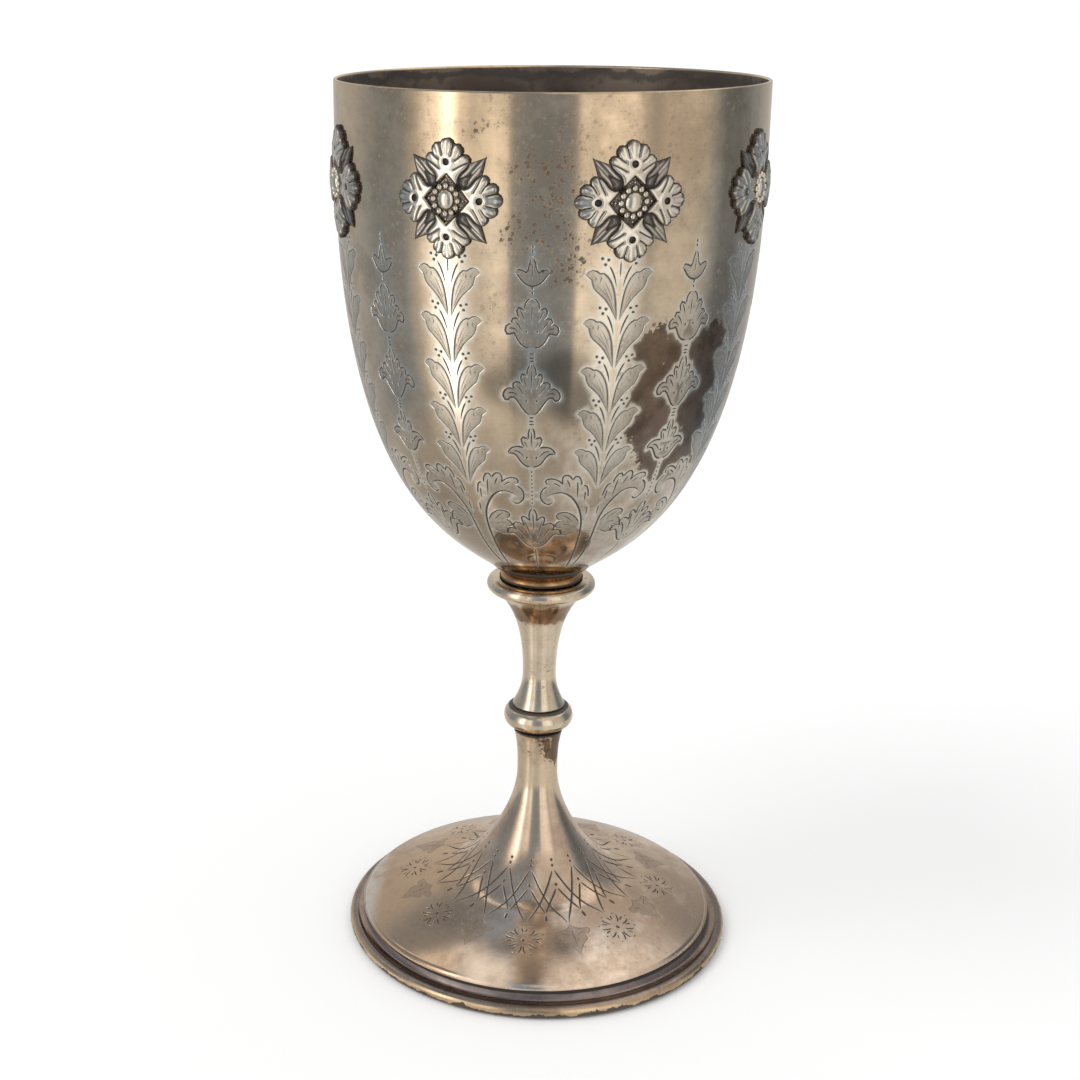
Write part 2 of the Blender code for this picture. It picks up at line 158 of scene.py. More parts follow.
class Panel:
    """Half a sector of a turned side, laid flat, with what the graver cut in it.

    Flat places keep the angles of the real surface, and their unit is a millimetre
    where the side's radius is SCALE.
    """

    def __init__(self, side, scale, step):
        self.side = side
        self.scale = scale
        self.step = step
        self.width = HALF_SECTOR * scale
        self.length = side.reach[-1] * scale
        self.strokes = []
        self.pits = []
        self.fills = []

    def flat(self, angle, height):
        """Flat place of an angle from the sector's axis and a height."""
        reach = self.side.reach_of_height(height)
        return np.column_stack([np.asarray(angle) * self.scale, reach * self.scale])

    def zoom(self, flat):
        """Flat units for each millimetre at flat places."""
        return self.scale / self.side.at(flat[:, 1] / self.scale)[0]

    def cut(self, flat, half_width, depth, start, end):
        """One graver's stroke, V shaped, thinning towards each end over a share of its length."""
        path = smooth(flat, self.step * 0.62)
        share = np.linspace(0.0, 1.0, len(path))
        thin = np.ones(len(path))
        if start > 0.0:
            thin = np.minimum(thin, np.sqrt(np.clip(share / start, 0.0, 1.0)))
        if end > 0.0:
            thin = np.minimum(thin, np.sqrt(np.clip((1.0 - share) / end, 0.0, 1.0)))
        self.strokes.append((path, thin * half_width * self.zoom(path), thin * depth))
        return path

    def cut_all(self, place, lines, stroke):
        """Strokes of one kind along drawn lines, laid flat by a function."""
        return [self.cut(place(line), *stroke) for line in lines]

    def pit(self, flat, radius, depth):
        """A round punch mark."""
        flat = np.array(flat, float)
        self.pits.append((flat, radius * float(self.zoom(flat[None])[0]), depth))

    def pit_all(self, places, mark):
        """Several punch marks of one kind."""
        for place in places:
            self.pit(place, *mark)

    def fill(self, outline, value, line=None):
        """Matted ground inside a closed flat outline, strongest beside a line."""
        self.fills.append((np.array(outline, float), value, line))

    def depth_at(self, places):
        """Depth of the cuts, and distance to the nearest one, at flat places."""
        depth = np.zeros(len(places))
        near = np.full(len(places), 1e3)
        for path, half, deep in self.strokes:
            box = (places > path.min(0) - STROKE_REACH).all(1) & (places < path.max(0) + STROKE_REACH).all(1)
            chosen = np.flatnonzero(box)
            if not len(chosen):
                continue
            start, along = path[:-1], np.diff(path, axis=0)
            offset = places[chosen, None, :] - start[None]
            size = (along ** 2).sum(1)
            share = np.clip((offset * along[None]).sum(2) / size[None], 0.0, 1.0)
            gap = np.linalg.norm(offset - share[..., None] * along[None], axis=2)
            width = half[:-1] + share * np.diff(half)[None] + 1e-9
            cut = (deep[:-1] + share * np.diff(deep)[None]) * np.clip(1.0 - gap / width, 0.0, 1.0)
            depth[chosen] = np.maximum(depth[chosen], cut.max(1))
            near[chosen] = np.minimum(near[chosen], (gap - width).min(1))
        for centre, radius, deep in self.pits:
            gap = np.hypot(*(places - centre).T)
            depth = np.maximum(depth, deep * np.clip(1.0 - (gap / radius) ** 2, 0.0, 1.0))
            near = np.minimum(near, gap - radius)
        return depth, near

    def shape(self, plain_from=None):
        """Mesh of the half sector: flat place across and along, depth below the side as height."""
        coords, edges = [], []

        def chain(points, closed=False):
            first = len(coords)
            for point in points:
                coords.append((min(max(point[0], 0.0), self.width), min(max(point[1], 0.0), self.length)))
            last = len(coords) - 1
            edges.extend((index, index + 1) for index in range(first, last))
            if closed:
                edges.append((last, first))

        across = round(self.width / self.step)
        rows = round(self.length / self.step)
        chain([(self.width * i / across, 0.0) for i in range(across + 1)])
        chain([(self.width * i / across, self.length) for i in range(across + 1)])
        chain([(0.0, self.length * j / rows) for j in range(rows + 1)])
        chain([(self.width, self.length * j / rows) for j in range(rows + 1)])
        for path, half, _ in self.strokes:
            along = np.gradient(path, axis=0)
            turned = np.column_stack([-along[:, 1], along[:, 0]]) / np.linalg.norm(along, axis=1)[:, None]
            chain(path)
            for hand in (-1.0, 1.0):
                chain(path + hand * turned * half[:, None])
        for centre, radius, _ in self.pits:
            ring = [
                (centre[0] + radius * math.cos(angle), centre[1] + radius * math.sin(angle))
                for angle in np.linspace(0.0, math.tau, 8, endpoint=False)
            ]
            chain(ring, closed=True)
            chain([centre])
        ground = []
        for row in range(1, rows):
            level = self.length * row / rows
            if plain_from is not None and level > plain_from and row % 2:
                continue
            shift = 0.5 if row % 2 else 0.0
            ground += [(self.width * (i + shift) / across, level) for i in range(across)]
        ground = np.array([place for place in ground if place[0] > 0.3 * self.step])
        _, near = self.depth_at(ground)
        chosen = ground[near > 0.3 * self.step]
        for place in chosen:
            coords.append((float(place[0]), float(place[1])))
        found = delaunay_2d_cdt([Vector(place) for place in coords], edges, [], 0, 1e-5)
        places = np.array([tuple(place) for place in found[0]])
        depth, near = self.depth_at(places)
        shape = bmesh.new()
        cut_layer = shape.verts.layers.float.new("cut")
        halo_layer = shape.verts.layers.float.new("halo")
        matt_layer = shape.faces.layers.float.new("matt")
        panel_layer = shape.faces.layers.float.new("panel")
        verts = []
        for place, deep, gap in zip(places, depth, near):
            vert = shape.verts.new((place[0], place[1], -deep))
            vert[cut_layer] = min(deep / FULL_CUT, 1.0)
            vert[halo_layer] = math.exp(-max(gap, 0.0) / HALO_REACH)
            verts.append(vert)
        centres = np.array([places[list(face)].mean(0) for face in found[2]])
        matt = np.zeros(len(centres))
        for outline, value, line in self.fills:
            chosen = np.flatnonzero(inside(centres, outline))
            fade = 1.0
            if line is not None:
                fade = MATT_LEAST + (1.0 - MATT_LEAST) * np.exp(-gap_to(centres[chosen], line) / MATT_REACH)
            matt[chosen] = np.maximum(matt[chosen], value * fade)
        for face, value in zip(found[2], matt):
            if len(set(face)) == 3:
                made = shape.faces.new([verts[index] for index in face])
                made[matt_layer] = value
                made[panel_layer] = 1.0
        bmesh.ops.remove_doubles(shape, verts=shape.verts, dist=CROWDED)
        for level in (0.0, self.width):
            lay_on_seam(shape, Vector((1.0, 0.0, 0.0)), level)
        return shape


def lay_on_seam(shape, across, level):
    """Move the points beside a seam onto it, and take out faces that then lie along it."""
    on_seam = set()
    for vert in shape.verts:
        gap = vert.co.dot(across) - level
        if abs(gap) < 1.5 * CROWDED:
            vert.co -= gap * across
            on_seam.add(vert)
    flat_faces = [face for face in shape.faces if all(vert in on_seam for vert in face.verts)]
    bmesh.ops.delete(shape, geom=flat_faces, context="FACES")


def inside(places, outline):
    """Which flat places lie inside a closed outline."""
    result = np.zeros(len(places), bool)
    for start, end in zip(outline, np.roll(outline, -1, axis=0)):
        crosses = (start[1] > places[:, 1]) != (end[1] > places[:, 1])
        rise = end[1] - start[1] if abs(end[1] - start[1]) > 1e-12 else 1e-12
        level = start[0] + (places[:, 1] - start[1]) * (end[0] - start[0]) / rise
        result ^= crosses & (places[:, 0] < level)
    return result


def mirror_and_repeat(shape, count, move):
    """Mirror a shape at its seam, and add copies that are each moved by their number."""
    everything = shape.verts[:] + shape.edges[:] + shape.faces[:]
    bmesh.ops.mirror(shape, geom=everything, matrix=Matrix.Identity(4), merge_dist=1e-3, axis="X")
    mirrored = shape.verts[:] + shape.edges[:] + shape.faces[:]
    for index in range(1, count):
        copy = bmesh.ops.duplicate(shape, geom=mirrored)
        move([item for item in copy["geom"] if isinstance(item, bmesh.types.BMVert)], index)


def all_round(panel, shape, drift):
    """Mirror and repeat a half sector all round, and lay it on its side."""

    def move(verts, index):
        bmesh.ops.translate(shape, verts=verts, vec=(2.0 * panel.width * index, 0.0, 0.0))

    mirror_and_repeat(shape, SECTORS, move)
    places = np.array([tuple(vert.co) for vert in shape.verts])
    angle = places[:, 0] / panel.scale
    radius, height, across, up = panel.side.at(places[:, 1] / panel.scale)
    angle = angle + drift(angle, height)
    radius = radius + across * places[:, 2]
    height = height + up * places[:, 2]
    for vert, turn, out, level in zip(shape.verts, angle, radius, height):
        vert.co = (out * math.sin(turn) * MM, -out * math.cos(turn) * MM, level * MM)
    bmesh.ops.remove_doubles(shape, verts=shape.verts, dist=2e-6)
    bmesh.ops.recalc_face_normals(shape, faces=shape.faces)


def edge_ring(shape, top):
    """Open edges at the top or at the bottom of a shell."""
    found = [edge for edge in shape.edges if edge.is_boundary]
    levels = [edge.verts[0].co.z for edge in found]
    middle = 0.5 * (min(levels) + max(levels))
    return [edge for edge in found if (edge.verts[0].co.z > middle) == top]


def grow(shape, ring, outline):
    """Extrude a round edge through the (radius, height) points of an outline."""
    panel_layer = shape.faces.layers.float["panel"]
    matt_layer = shape.faces.layers.float["matt"]
    for radius, height in outline:
        grown = bmesh.ops.extrude_edge_only(shape, edges=ring)["geom"]
        ring = [item for item in grown if isinstance(item, bmesh.types.BMEdge)]
        for item in grown:
            if isinstance(item, bmesh.types.BMFace):
                item[panel_layer] = 0.0
                item[matt_layer] = 0.0
        for vert in {vert for edge in ring for vert in edge.verts}:
            angle = math.atan2(vert.co.x, -vert.co.y)
            vert.co = (radius * MM * math.sin(angle), -radius * MM * math.cos(angle), height * MM)
    return ring


def close_shell(shape, top, outline):
    """Extrude a shell's open edge through an outline, and cap the last ring."""
    ring = grow(shape, edge_ring(shape, top), outline)
    bmesh.ops.contextual_create(shape, geom=ring)


def plain_mesh(name, shape):
    """Mesh of a finished shape."""
    mesh = bpy.data.meshes.new(name)
    shape.to_mesh(mesh)
    shape.free()
    return mesh


def soften(mesh, sharp):
    """Shade a mesh smooth except at edges sharper than an angle in degrees."""
    mesh.shade_smooth()
    mesh.set_sharp_from_angle(angle=math.radians(sharp))
    return mesh


def read_values(items, name, width=1, kind=float):
    """One value, or one row of values, for each of a mesh's items."""
    values = np.zeros(len(items) * width, kind)
    items.foreach_get(name, values)
    return values if width == 1 else values.reshape(-1, width)


def true_normals(mesh, side):
    """Give the turned side its own smooth normals, and each facet of a cut its flat one."""
    normals = read_values(mesh.corner_normals, "vector", 3)
    corner_vert = read_values(mesh.loops, "vertex_index", kind=int)
    places = read_values(mesh.vertices, "co", 3) / MM
    cut = read_values(mesh.attributes["cut"].data, "value")
    panel = read_values(mesh.attributes["panel"].data, "value")
    flat = read_values(mesh.polygons, "normal", 3)
    starts = read_values(mesh.polygons, "loop_start", kind=int)
    totals = read_values(mesh.polygons, "loop_total", kind=int)
    face_of = np.repeat(np.arange(len(starts)), totals)
    reach = side.reach_of_height(places[:, 2])
    _, _, across, up = side.at(reach)
    turn = np.arctan2(places[:, 0], -places[:, 1])
    turned = np.column_stack([across * np.sin(turn), -across * np.cos(turn), up])
    deepest = np.maximum.reduceat(cut[corner_vert], starts)
    on_panel = panel[face_of] > 0.5
    in_cut = deepest[face_of] > 0.02
    normals[on_panel & ~in_cut] = turned[corner_vert[on_panel & ~in_cut]]
    normals[on_panel & in_cut] = flat[face_of[on_panel & in_cut]]
    mesh.normals_split_custom_set(normals.tolist())


def add_piece(name, mesh, material, slot, *nodes):
    """Object for a finished mesh, riding on the body and standing for its CAD nodes."""
    piece = bpy.data.objects.new(name, mesh)
    bpy.context.scene.collection.objects.link(piece)
    mesh.materials.clear()
    mesh.materials.append(material)
    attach(piece, "root")
    if nodes:
        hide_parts(*nodes)
    return piece


class Graph:
    """Adds shader nodes to one tree."""

    def __init__(self, tree):
        self.tree = tree

    def feed(self, socket, value):
        if isinstance(value, bpy.types.NodeSocket):
            self.tree.links.new(value, socket)
        elif value is not None:
            socket.default_value = value

    def math(self, operation, *values, clamp=False):
        node = self.tree.nodes.new("ShaderNodeMath")
        node.operation = operation
        node.use_clamp = clamp
        for socket, value in zip(node.inputs, values):
            self.feed(socket, value)
        return node.outputs[0]

    def vector(self, operation, *values, out=0):
        node = self.tree.nodes.new("ShaderNodeVectorMath")
        node.operation = operation
        for socket, value in zip(node.inputs, values):
            self.feed(socket, value)
        return node.outputs[out]

    def total(self, *values):
        result = values[0]
        for value in values[1:]:
            result = self.math("ADD", result, value)
        return result

    def part(self, value, share):
        return self.math("MULTIPLY", value, share)

    def rest(self, share, clamp=False):
        """What a share leaves of one."""
        return self.math("SUBTRACT", 1.0, share, clamp=clamp)

    def highest(self, values):
        result = values[0]
        for value in values[1:]:
            result = self.math("MAXIMUM", result, value)
        return result

    def blend(self, share, first, second, kind="MIX"):
        node = self.tree.nodes.new("ShaderNodeMix")
        node.data_type = "RGBA"
        node.blend_type = kind
        self.feed(node.inputs[0], share)
        self.feed(node.inputs[6], first)
        self.feed(node.inputs[7], second)
        return node.outputs[2]

    def slide(self, share, first, second):
        node = self.tree.nodes.new("ShaderNodeMix")
        self.feed(node.inputs[0], share)
        self.feed(node.inputs[2], first)
        self.feed(node.inputs[3], second)
        return node.outputs[0]

    def between(self, value, low, high):
        node = self.tree.nodes.new("ShaderNodeMapRange")
        node.interpolation_type = "SMOOTHSTEP"
        self.feed(node.inputs["Value"], value)
        node.inputs["From Min"].default_value = low
        node.inputs["From Max"].default_value = high
        return node.outputs["Result"]

    def noise(self, place, scale, detail=3.0, rough=0.55):
        node = self.tree.nodes.new("ShaderNodeTexNoise")
        self.feed(node.inputs["Vector"], place)
        node.inputs["Scale"].default_value = scale
        node.inputs["Detail"].default_value = detail
        node.inputs["Roughness"].default_value = rough
        return node.outputs[0]

    def cells(self, place, scale):
        node = self.tree.nodes.new("ShaderNodeTexVoronoi")
        self.feed(node.inputs["Vector"], place)
        node.inputs["Scale"].default_value = scale
        split = self.tree.nodes.new("ShaderNodeSeparateColor")
        self.tree.links.new(node.outputs["Color"], split.inputs[0])
        return node.outputs["Distance"], split.outputs[0]

    def levels(self, place):
        """Place to the right, place to the back, and height."""
        node = self.tree.nodes.new("ShaderNodeSeparateXYZ")
        self.feed(node.inputs[0], place)
        return node.outputs

    def reach(self, across, depth):
        """Distance from the goblet's axis."""
        return self.math("SQRT", self.total(self.part(across, across), self.part(depth, depth)))

    def attribute(self, name):
        node = self.tree.nodes.new("ShaderNodeAttribute")
        node.attribute_name = name
        return node.outputs["Fac"]

    def near(self, place, centre, radius):
        gap = self.vector("DISTANCE", place, centre, out=1)
        return self.between(gap, radius * MM, 0.3 * radius * MM)


def colour(red, green, blue):
    return (red, green, blue, 1.0)


def even(level):
    """Colour without a tint."""
    return colour(level, level, level)


FINISH_OUTPUTS = ("Color", "Roughness", "Metallic", "Height")


def finish_group(name, sockets):
    """Empty node group for a finish, with its inputs and the four outputs that every finish has."""
    group = bpy.data.node_groups.new(name, "ShaderNodeTree")
    for label, kind, value in sockets:
        socket = group.interface.new_socket(name=label, in_out="INPUT", socket_type="NodeSocket" + kind)
        if value is not None:
            socket.default_value = value
    for label in FINISH_OUTPUTS:
        kind = "NodeSocketColor" if label == "Color" else "NodeSocketFloat"
        group.interface.new_socket(name=label, in_out="OUTPUT", socket_type=kind)
    inlet = group.nodes.new("NodeGroupInput")
    outlet = group.nodes.new("NodeGroupOutput")
    return group, Graph(group), inlet.outputs, outlet.inputs


# Tones of old silver and of what lies on it
GREY_SILVER = (colour(0.60, 0.58, 0.50), colour(0.76, 0.74, 0.66))
TARNISH = (colour(0.24, 0.19, 0.165), colour(0.14, 0.11, 0.105))
WIPED_SILVER = colour(0.86, 0.83, 0.74)
MATT_SILVER = colour(0.47, 0.44, 0.38)
MATT_EDGE = colour(0.24, 0.22, 0.19)
SPECK_BROWN = colour(0.10, 0.06, 0.035)
# Black of the grime in the cuts, also laid on as painted shade where pieces meet
DIRT_AND_SHADE_BLACK = colour(0.035, 0.028, 0.022)


def silver_specks(make, given, place, cloud):
    """Share of brown specks, which crowd where the silver is toned."""
    shift = make.vector("SUBTRACT", make.noise(place, 1500.0, 3.0, 0.7), (0.5, 0.5, 0.5))
    warped = make.vector("MULTIPLY_ADD", shift, (0.0014, 0.0014, 0.0014), place)
    near, chance = make.cells(warped, 850.0)
    tiny, luck = make.cells(warped, 2000.0)
    crowd = make.between(cloud, 0.47, 0.60)
    chance = make.total(chance, make.part(given["Specks"], 0.15))
    speck = make.part(make.between(near, 0.42, 0.22), make.between(chance, 0.50, 0.70))
    small = make.part(make.between(tiny, 0.40, 0.20), make.between(luck, 0.6, 0.7))
    return make.math("MULTIPLY", make.part(make.highest([speck, small]), crowd), given["Specks"], clamp=True)


def silver_patches(make, given, place, middle, polished):
    """Share of tarnish patches, ragged at their edges and wiped away beside the cuts; on the bowl's front
    right a dark reflection is painted in among them.
    """
    crumbs = make.part(make.noise(place, 900.0, 5.0, 0.75), 1.7)
    ragged = make.total(given["Patch"], make.part(middle, 1.5), crumbs, -1.6)
    wiped = make.part(make.between(given["Halo"], 0.78, 0.52), polished)
    patch = make.part(make.between(ragged, 0.31, 0.46), wiped)
    return make.part(patch, make.between(given["Patch"], 0.02, 0.2))


def matt_tone(make, given, streaks):
    """Tone of the matted leaves: streaked by the punch, darker along their outlines."""
    shaded = make.blend(0.4, given["Frost"], even(0.0))
    frost = make.blend(make.between(streaks, 0.30, 0.66), shaded, given["Frost"])
    edge = make.part(make.between(given["Halo"], 0.5, 1.0), 0.35)
    return make.blend(edge, frost, MATT_EDGE)


def aged_silver_group():
    """Silver with toning, specks, tarnish patches, matted leaves, grime in its cuts and painted shade where
    pieces meet.
    """
    group, make, given, result = finish_group(
        "aged_silver",
        (
            ("Place", "Vector", None), ("Bright", "Color", colour(0.75, 0.62, 0.48)),
            ("Toned", "Color", colour(0.5, 0.4, 0.3)), ("Toning", "Float", 0.6), ("Specks", "Float", 0.5),
            ("Patch", "Float", 0.0), ("Grey", "Float", 0.0), ("Cut", "Float", 0.0), ("Halo", "Float", 0.0),
            ("Matt", "Float", 0.0), ("Roughness", "Float", 0.12), ("Crevice", "Float", 0.0),
            ("Frost", "Color", MATT_SILVER), ("Dull", "Float", 0.0),
        ),
    )
    place, matt = given["Place"], given["Matt"]
    large = make.noise(place, 42.0, 4.0)
    middle = make.noise(place, 230.0, 4.0, 0.62)
    fine = make.noise(place, 1300.0, 2.0)
    brushed = make.noise(make.vector("MULTIPLY", place, (1.0, 1.0, 22.0)), 170.0, 3.0)
    streaks = make.noise(make.vector("MULTIPLY", place, (16.0, 16.0, 1.0)), 110.0, 3.0)
    cloud = make.total(make.part(large, 0.6), make.part(middle, 0.4))
    toned = make.part(make.between(cloud, 0.42, 0.60), given["Toning"])
    silver = make.blend(toned, given["Bright"], given["Toned"])
    silver = make.blend(make.part(given["Grey"], 0.75), silver, make.blend(middle, *GREY_SILVER))
    grain = make.total(0.80, make.part(fine, 0.2), make.part(brushed, 0.12), make.part(streaks, 0.10))
    silver = make.blend(1.0, silver, grain, "MULTIPLY")
    polished = make.rest(make.part(matt, 0.8))
    patch = silver_patches(make, given, place, middle, polished)
    stained = make.blend(make.between(middle, 0.35, 0.65), *TARNISH)
    silver = make.blend(make.part(patch, 0.95), silver, stained, "MULTIPLY")
    halo = make.part(make.math("POWER", given["Halo"], 2.4), polished)
    silver = make.blend(make.part(halo, 0.7), silver, WIPED_SILVER)
    silver = make.blend(make.part(matt, 0.75), silver, matt_tone(make, given, streaks))
    speck = silver_specks(make, given, place, cloud)
    silver = make.blend(make.part(speck, 0.9), silver, SPECK_BROWN)
    groove = make.between(make.total(given["Cut"], make.part(fine, 0.3)), 0.22, 0.62)
    # Painted shade where pieces meet, with the black crust of the foot rim, made ragged by noise
    crevice_shade_and_crust = make.between(make.total(given["Crevice"], make.part(middle, 0.5)), 0.55, 0.95)
    dirt_and_shade = make.highest([groove, crevice_shade_and_crust])
    silver = make.blend(make.part(dirt_and_shade, 0.93), silver, DIRT_AND_SHADE_BLACK)
    make.feed(result["Color"], silver)
    # The sheen value roughens the silver and lowers its metal, so that a pale patch reads as a painted
    # highlight
    rough = make.total(
        given["Roughness"], make.part(toned, 0.06), make.part(brushed, 0.04), make.part(patch, 0.08),
        make.part(matt, 0.18), make.part(dirt_and_shade, 0.35), make.part(speck, 0.35), make.part(given["Dull"], 0.15),
    )
    make.feed(result["Roughness"], rough)
    covered = make.total(
        make.part(dirt_and_shade, 0.8), make.part(speck, 0.7), make.part(patch, 0.15), make.part(matt, 0.12),
        make.part(given["Dull"], 0.6),
    )
    make.feed(result["Metallic"], make.rest(covered, clamp=True))
    height = make.total(
        make.part(make.noise(place, 60.0, 1.0), 2.2e-5), make.part(middle, 1.6e-6),
        make.part(brushed, 2.5e-7), make.part(speck, -4.0e-6),
        make.part(make.part(matt, make.noise(place, 2600.0, 1.0)), 4.0e-6),
    )
    make.feed(result["Height"], height)
    return group


def struck_silver_group():
    """Struck ornament: bright silver, browned by grime and by painted shade at its edges, black in its
    hollows.
    """
    group, make, given, result = finish_group(
        "struck_silver", (("Place", "Vector", None), ("Dark", "Float", 0.0), ("Roughness", "Float", 0.16)),
    )
    place = given["Place"]
    middle = make.noise(place, 420.0, 3.0)
    fine = make.noise(place, 1900.0, 2.0)
    bright = make.blend(make.between(middle, 0.38, 0.66), colour(0.92, 0.85, 0.73), colour(0.76, 0.68, 0.57))
    # The darkness value holds grime in the hollows and painted shade at the edges; where it is highest the
    # silver goes black
    hollow = make.between(make.total(given["Dark"], make.part(fine, 0.5)), 0.90, 1.38)
    stain = make.blend(make.between(given["Dark"], 0.1, 0.8), bright, colour(0.24, 0.205, 0.175))
    rough = make.total(given["Roughness"], make.part(hollow, 0.35), make.part(fine, 0.08))
    make.feed(result["Color"], make.blend(make.part(hollow, 0.95), stain, colour(0.032, 0.027, 0.022)))
    make.feed(result["Roughness"], rough)
    make.feed(result["Metallic"], make.rest(make.part(hollow, 0.75)))
    make.feed(result["Height"], make.total(make.part(middle, 6.0e-6), make.part(fine, 2.5e-6)))
    return group


def dull_inside_group():
    """Inside of the bowl: never polished, brown, with a black tide line under the lip."""
    sockets = (("Place", "Vector", None), ("Lip", "Float", BOWL_LIP * MM))
    group, make, given, result = finish_group("dull_inside", sockets)
    place = given["Place"]
    large = make.noise(place, 70.0, 4.0)
    fine = make.noise(place, 600.0, 3.0)
    base = make.blend(make.between(large, 0.38, 0.62), colour(0.24, 0.19, 0.15), colour(0.13, 0.10, 0.08))
    depth = make.math("SUBTRACT", given["Lip"], make.levels(place)["Z"])
    line = make.total(depth, make.part(make.noise(place, 140.0, 4.0, 0.7), 0.006))
    tide = make.part(make.between(line, 0.0062, 0.0050), make.between(line, 0.0036, 0.0042))
    base = make.blend(make.part(tide, 0.8), base, colour(0.05, 0.04, 0.032))
    near, chance = make.cells(place, 420.0)
    speck = make.part(make.between(near, 0.45, 0.2), make.between(chance, 0.5, 0.6))
    make.feed(result["Color"], make.blend(make.part(speck, 0.5), base, colour(0.09, 0.065, 0.05)))
    make.feed(result["Roughness"], make.total(0.34, make.part(fine, 0.2)))
    make.feed(result["Metallic"], make.total(0.62, make.part(tide, -0.4)))
    make.feed(result["Height"], make.total(make.part(large, 1.0e-5), make.part(fine, 2.0e-6)))
    return group


AGED_SILVER = aged_silver_group()
STRUCK_SILVER = struck_silver_group()
DULL_INSIDE = dull_inside_group()


class Finish:
    """A material built round one or more finish groups."""

    def __init__(self, name):
        self.material = bpy.data.materials.new(name)
        self.material.use_nodes = True
        self.make = Graph(self.material.node_tree)
        self.place = self.material.node_tree.nodes.new("ShaderNodeTexCoord").outputs["Object"]
        self.level = self.make.levels(self.place)["Z"]
        self.shader = self.material.node_tree.nodes["Principled BSDF"]

    def group(self, group, **values):
        node = self.material.node_tree.nodes.new("ShaderNodeGroup")
        node.node_tree = group
        self.make.feed(node.inputs["Place"], self.place)
        for name, value in values.items():
            self.make.feed(node.inputs[name], value)
        return node.outputs

    def near(self, centre, reach):
        """Round patch about a place, both in millimetres."""
        return self.make.near(self.place, tuple(value * MM for value in centre), reach)

    def near_any(self, marks):
        """Round patches about several places, joined."""
        return self.make.highest([self.near(centre, reach) for centre, reach in marks])

    def at_level(self, height, reach):
        """Band round the piece at a height, both in millimetres."""
        gap = self.make.math("ABSOLUTE", self.make.math("SUBTRACT", self.level, height * MM))
        return self.make.between(gap, reach * MM, 0.0)

    def close(self, outputs, under=None, share=None):
        """Join one finish, or two mixed by a share, to the shader."""
        make, shader = self.make, self.shader
        tone, *others = (outputs[name] for name in FINISH_OUTPUTS)
        if under is not None:
            tone = make.blend(share, tone, under["Color"])
            others = [make.slide(share, outputs[name], under[name]) for name in FINISH_OUTPUTS[1:]]
        rough, metal, height = others
        make.feed(shader.inputs["Base Color"], tone)
        make.feed(shader.inputs["Roughness"], rough)
        make.feed(shader.inputs["Metallic"], metal)
        bump = self.material.node_tree.nodes.new("ShaderNodeBump")
        bump.inputs["Strength"].default_value = 1.0
        bump.inputs["Distance"].default_value = 1.0
        make.feed(bump.inputs["Height"], height)
        make.feed(shader.inputs["Normal"], bump.outputs["Normal"])
        return self.material


# Tarnish blots on the bowl, with a dark reflection painted in among those on its front right: middle and
# reach of each blot, in millimetres
BOWL_BLOTS = (
    ((19.0, -33.6, 121.5), 6.5), ((21.5, -31.0, 115.5), 7.0), ((25.0, -24.5, 107.0), 6.0),
    ((31.8, -24.5, 133.5), 6.0), ((29.0, -27.5, 131.5), 8.5), ((20.7, -33.3, 134.0), 6.5),
    ((26.4, -29.4, 134.0), 9.0), ((19.7, -32.5, 127.7), 7.5), ((23.7, -28.9, 120.1), 10.5),
    ((29.5, -22.7, 123.7), 12.0), ((28.2, -20.2, 114.4), 10.0), ((31.4, -22.3, 130.2), 10.5),
    ((22.6, -24.8, 111.3), 7.0), ((26.0, -28.5, 127.0), 12.0), ((-30.0, 22.0, 128.0), 11.0),
    ((-12.0, 36.0, 120.0), 9.0), ((24.0, 29.5, 118.0), 10.0),
)
# Brown painted shade beside the middle column: middle, reach and tone
BOWL_PAINTED_SHADE = (
    ((-4.5, -38.5, 128.5), 9.0, (0.38, 0.28, 0.19)), ((4.5, -38.5, 130.0), 8.5, (0.36, 0.27, 0.18)),
    ((5.4, -38.0, 130.5), 6.0, (0.22, 0.165, 0.11)), ((7.0, -37.2, 125.0), 6.5, (0.13, 0.10, 0.07)),
    ((-6.5, -38.4, 128.0), 5.0, (0.22, 0.165, 0.11)),
)
BOWL_SPECKLED = (
    ((0.0, -41.0, 164.0), 8.0), ((-1.0, -40.9, 157.0), 8.5),
    ((3.0, -40.5, 151.5), 8.0), ((-9.0, -40.0, 170.0), 6.0),
)
BROWN_SIDE = ((-14.0, -31.0, 104.0), 17.0)
# Painted reflection of the gilt foot and stem, low on the bowl's front: middle and reach
PAINTED_FOOT_REFLECTION = ((-0.3, -22.0, 92.5), 11.0)


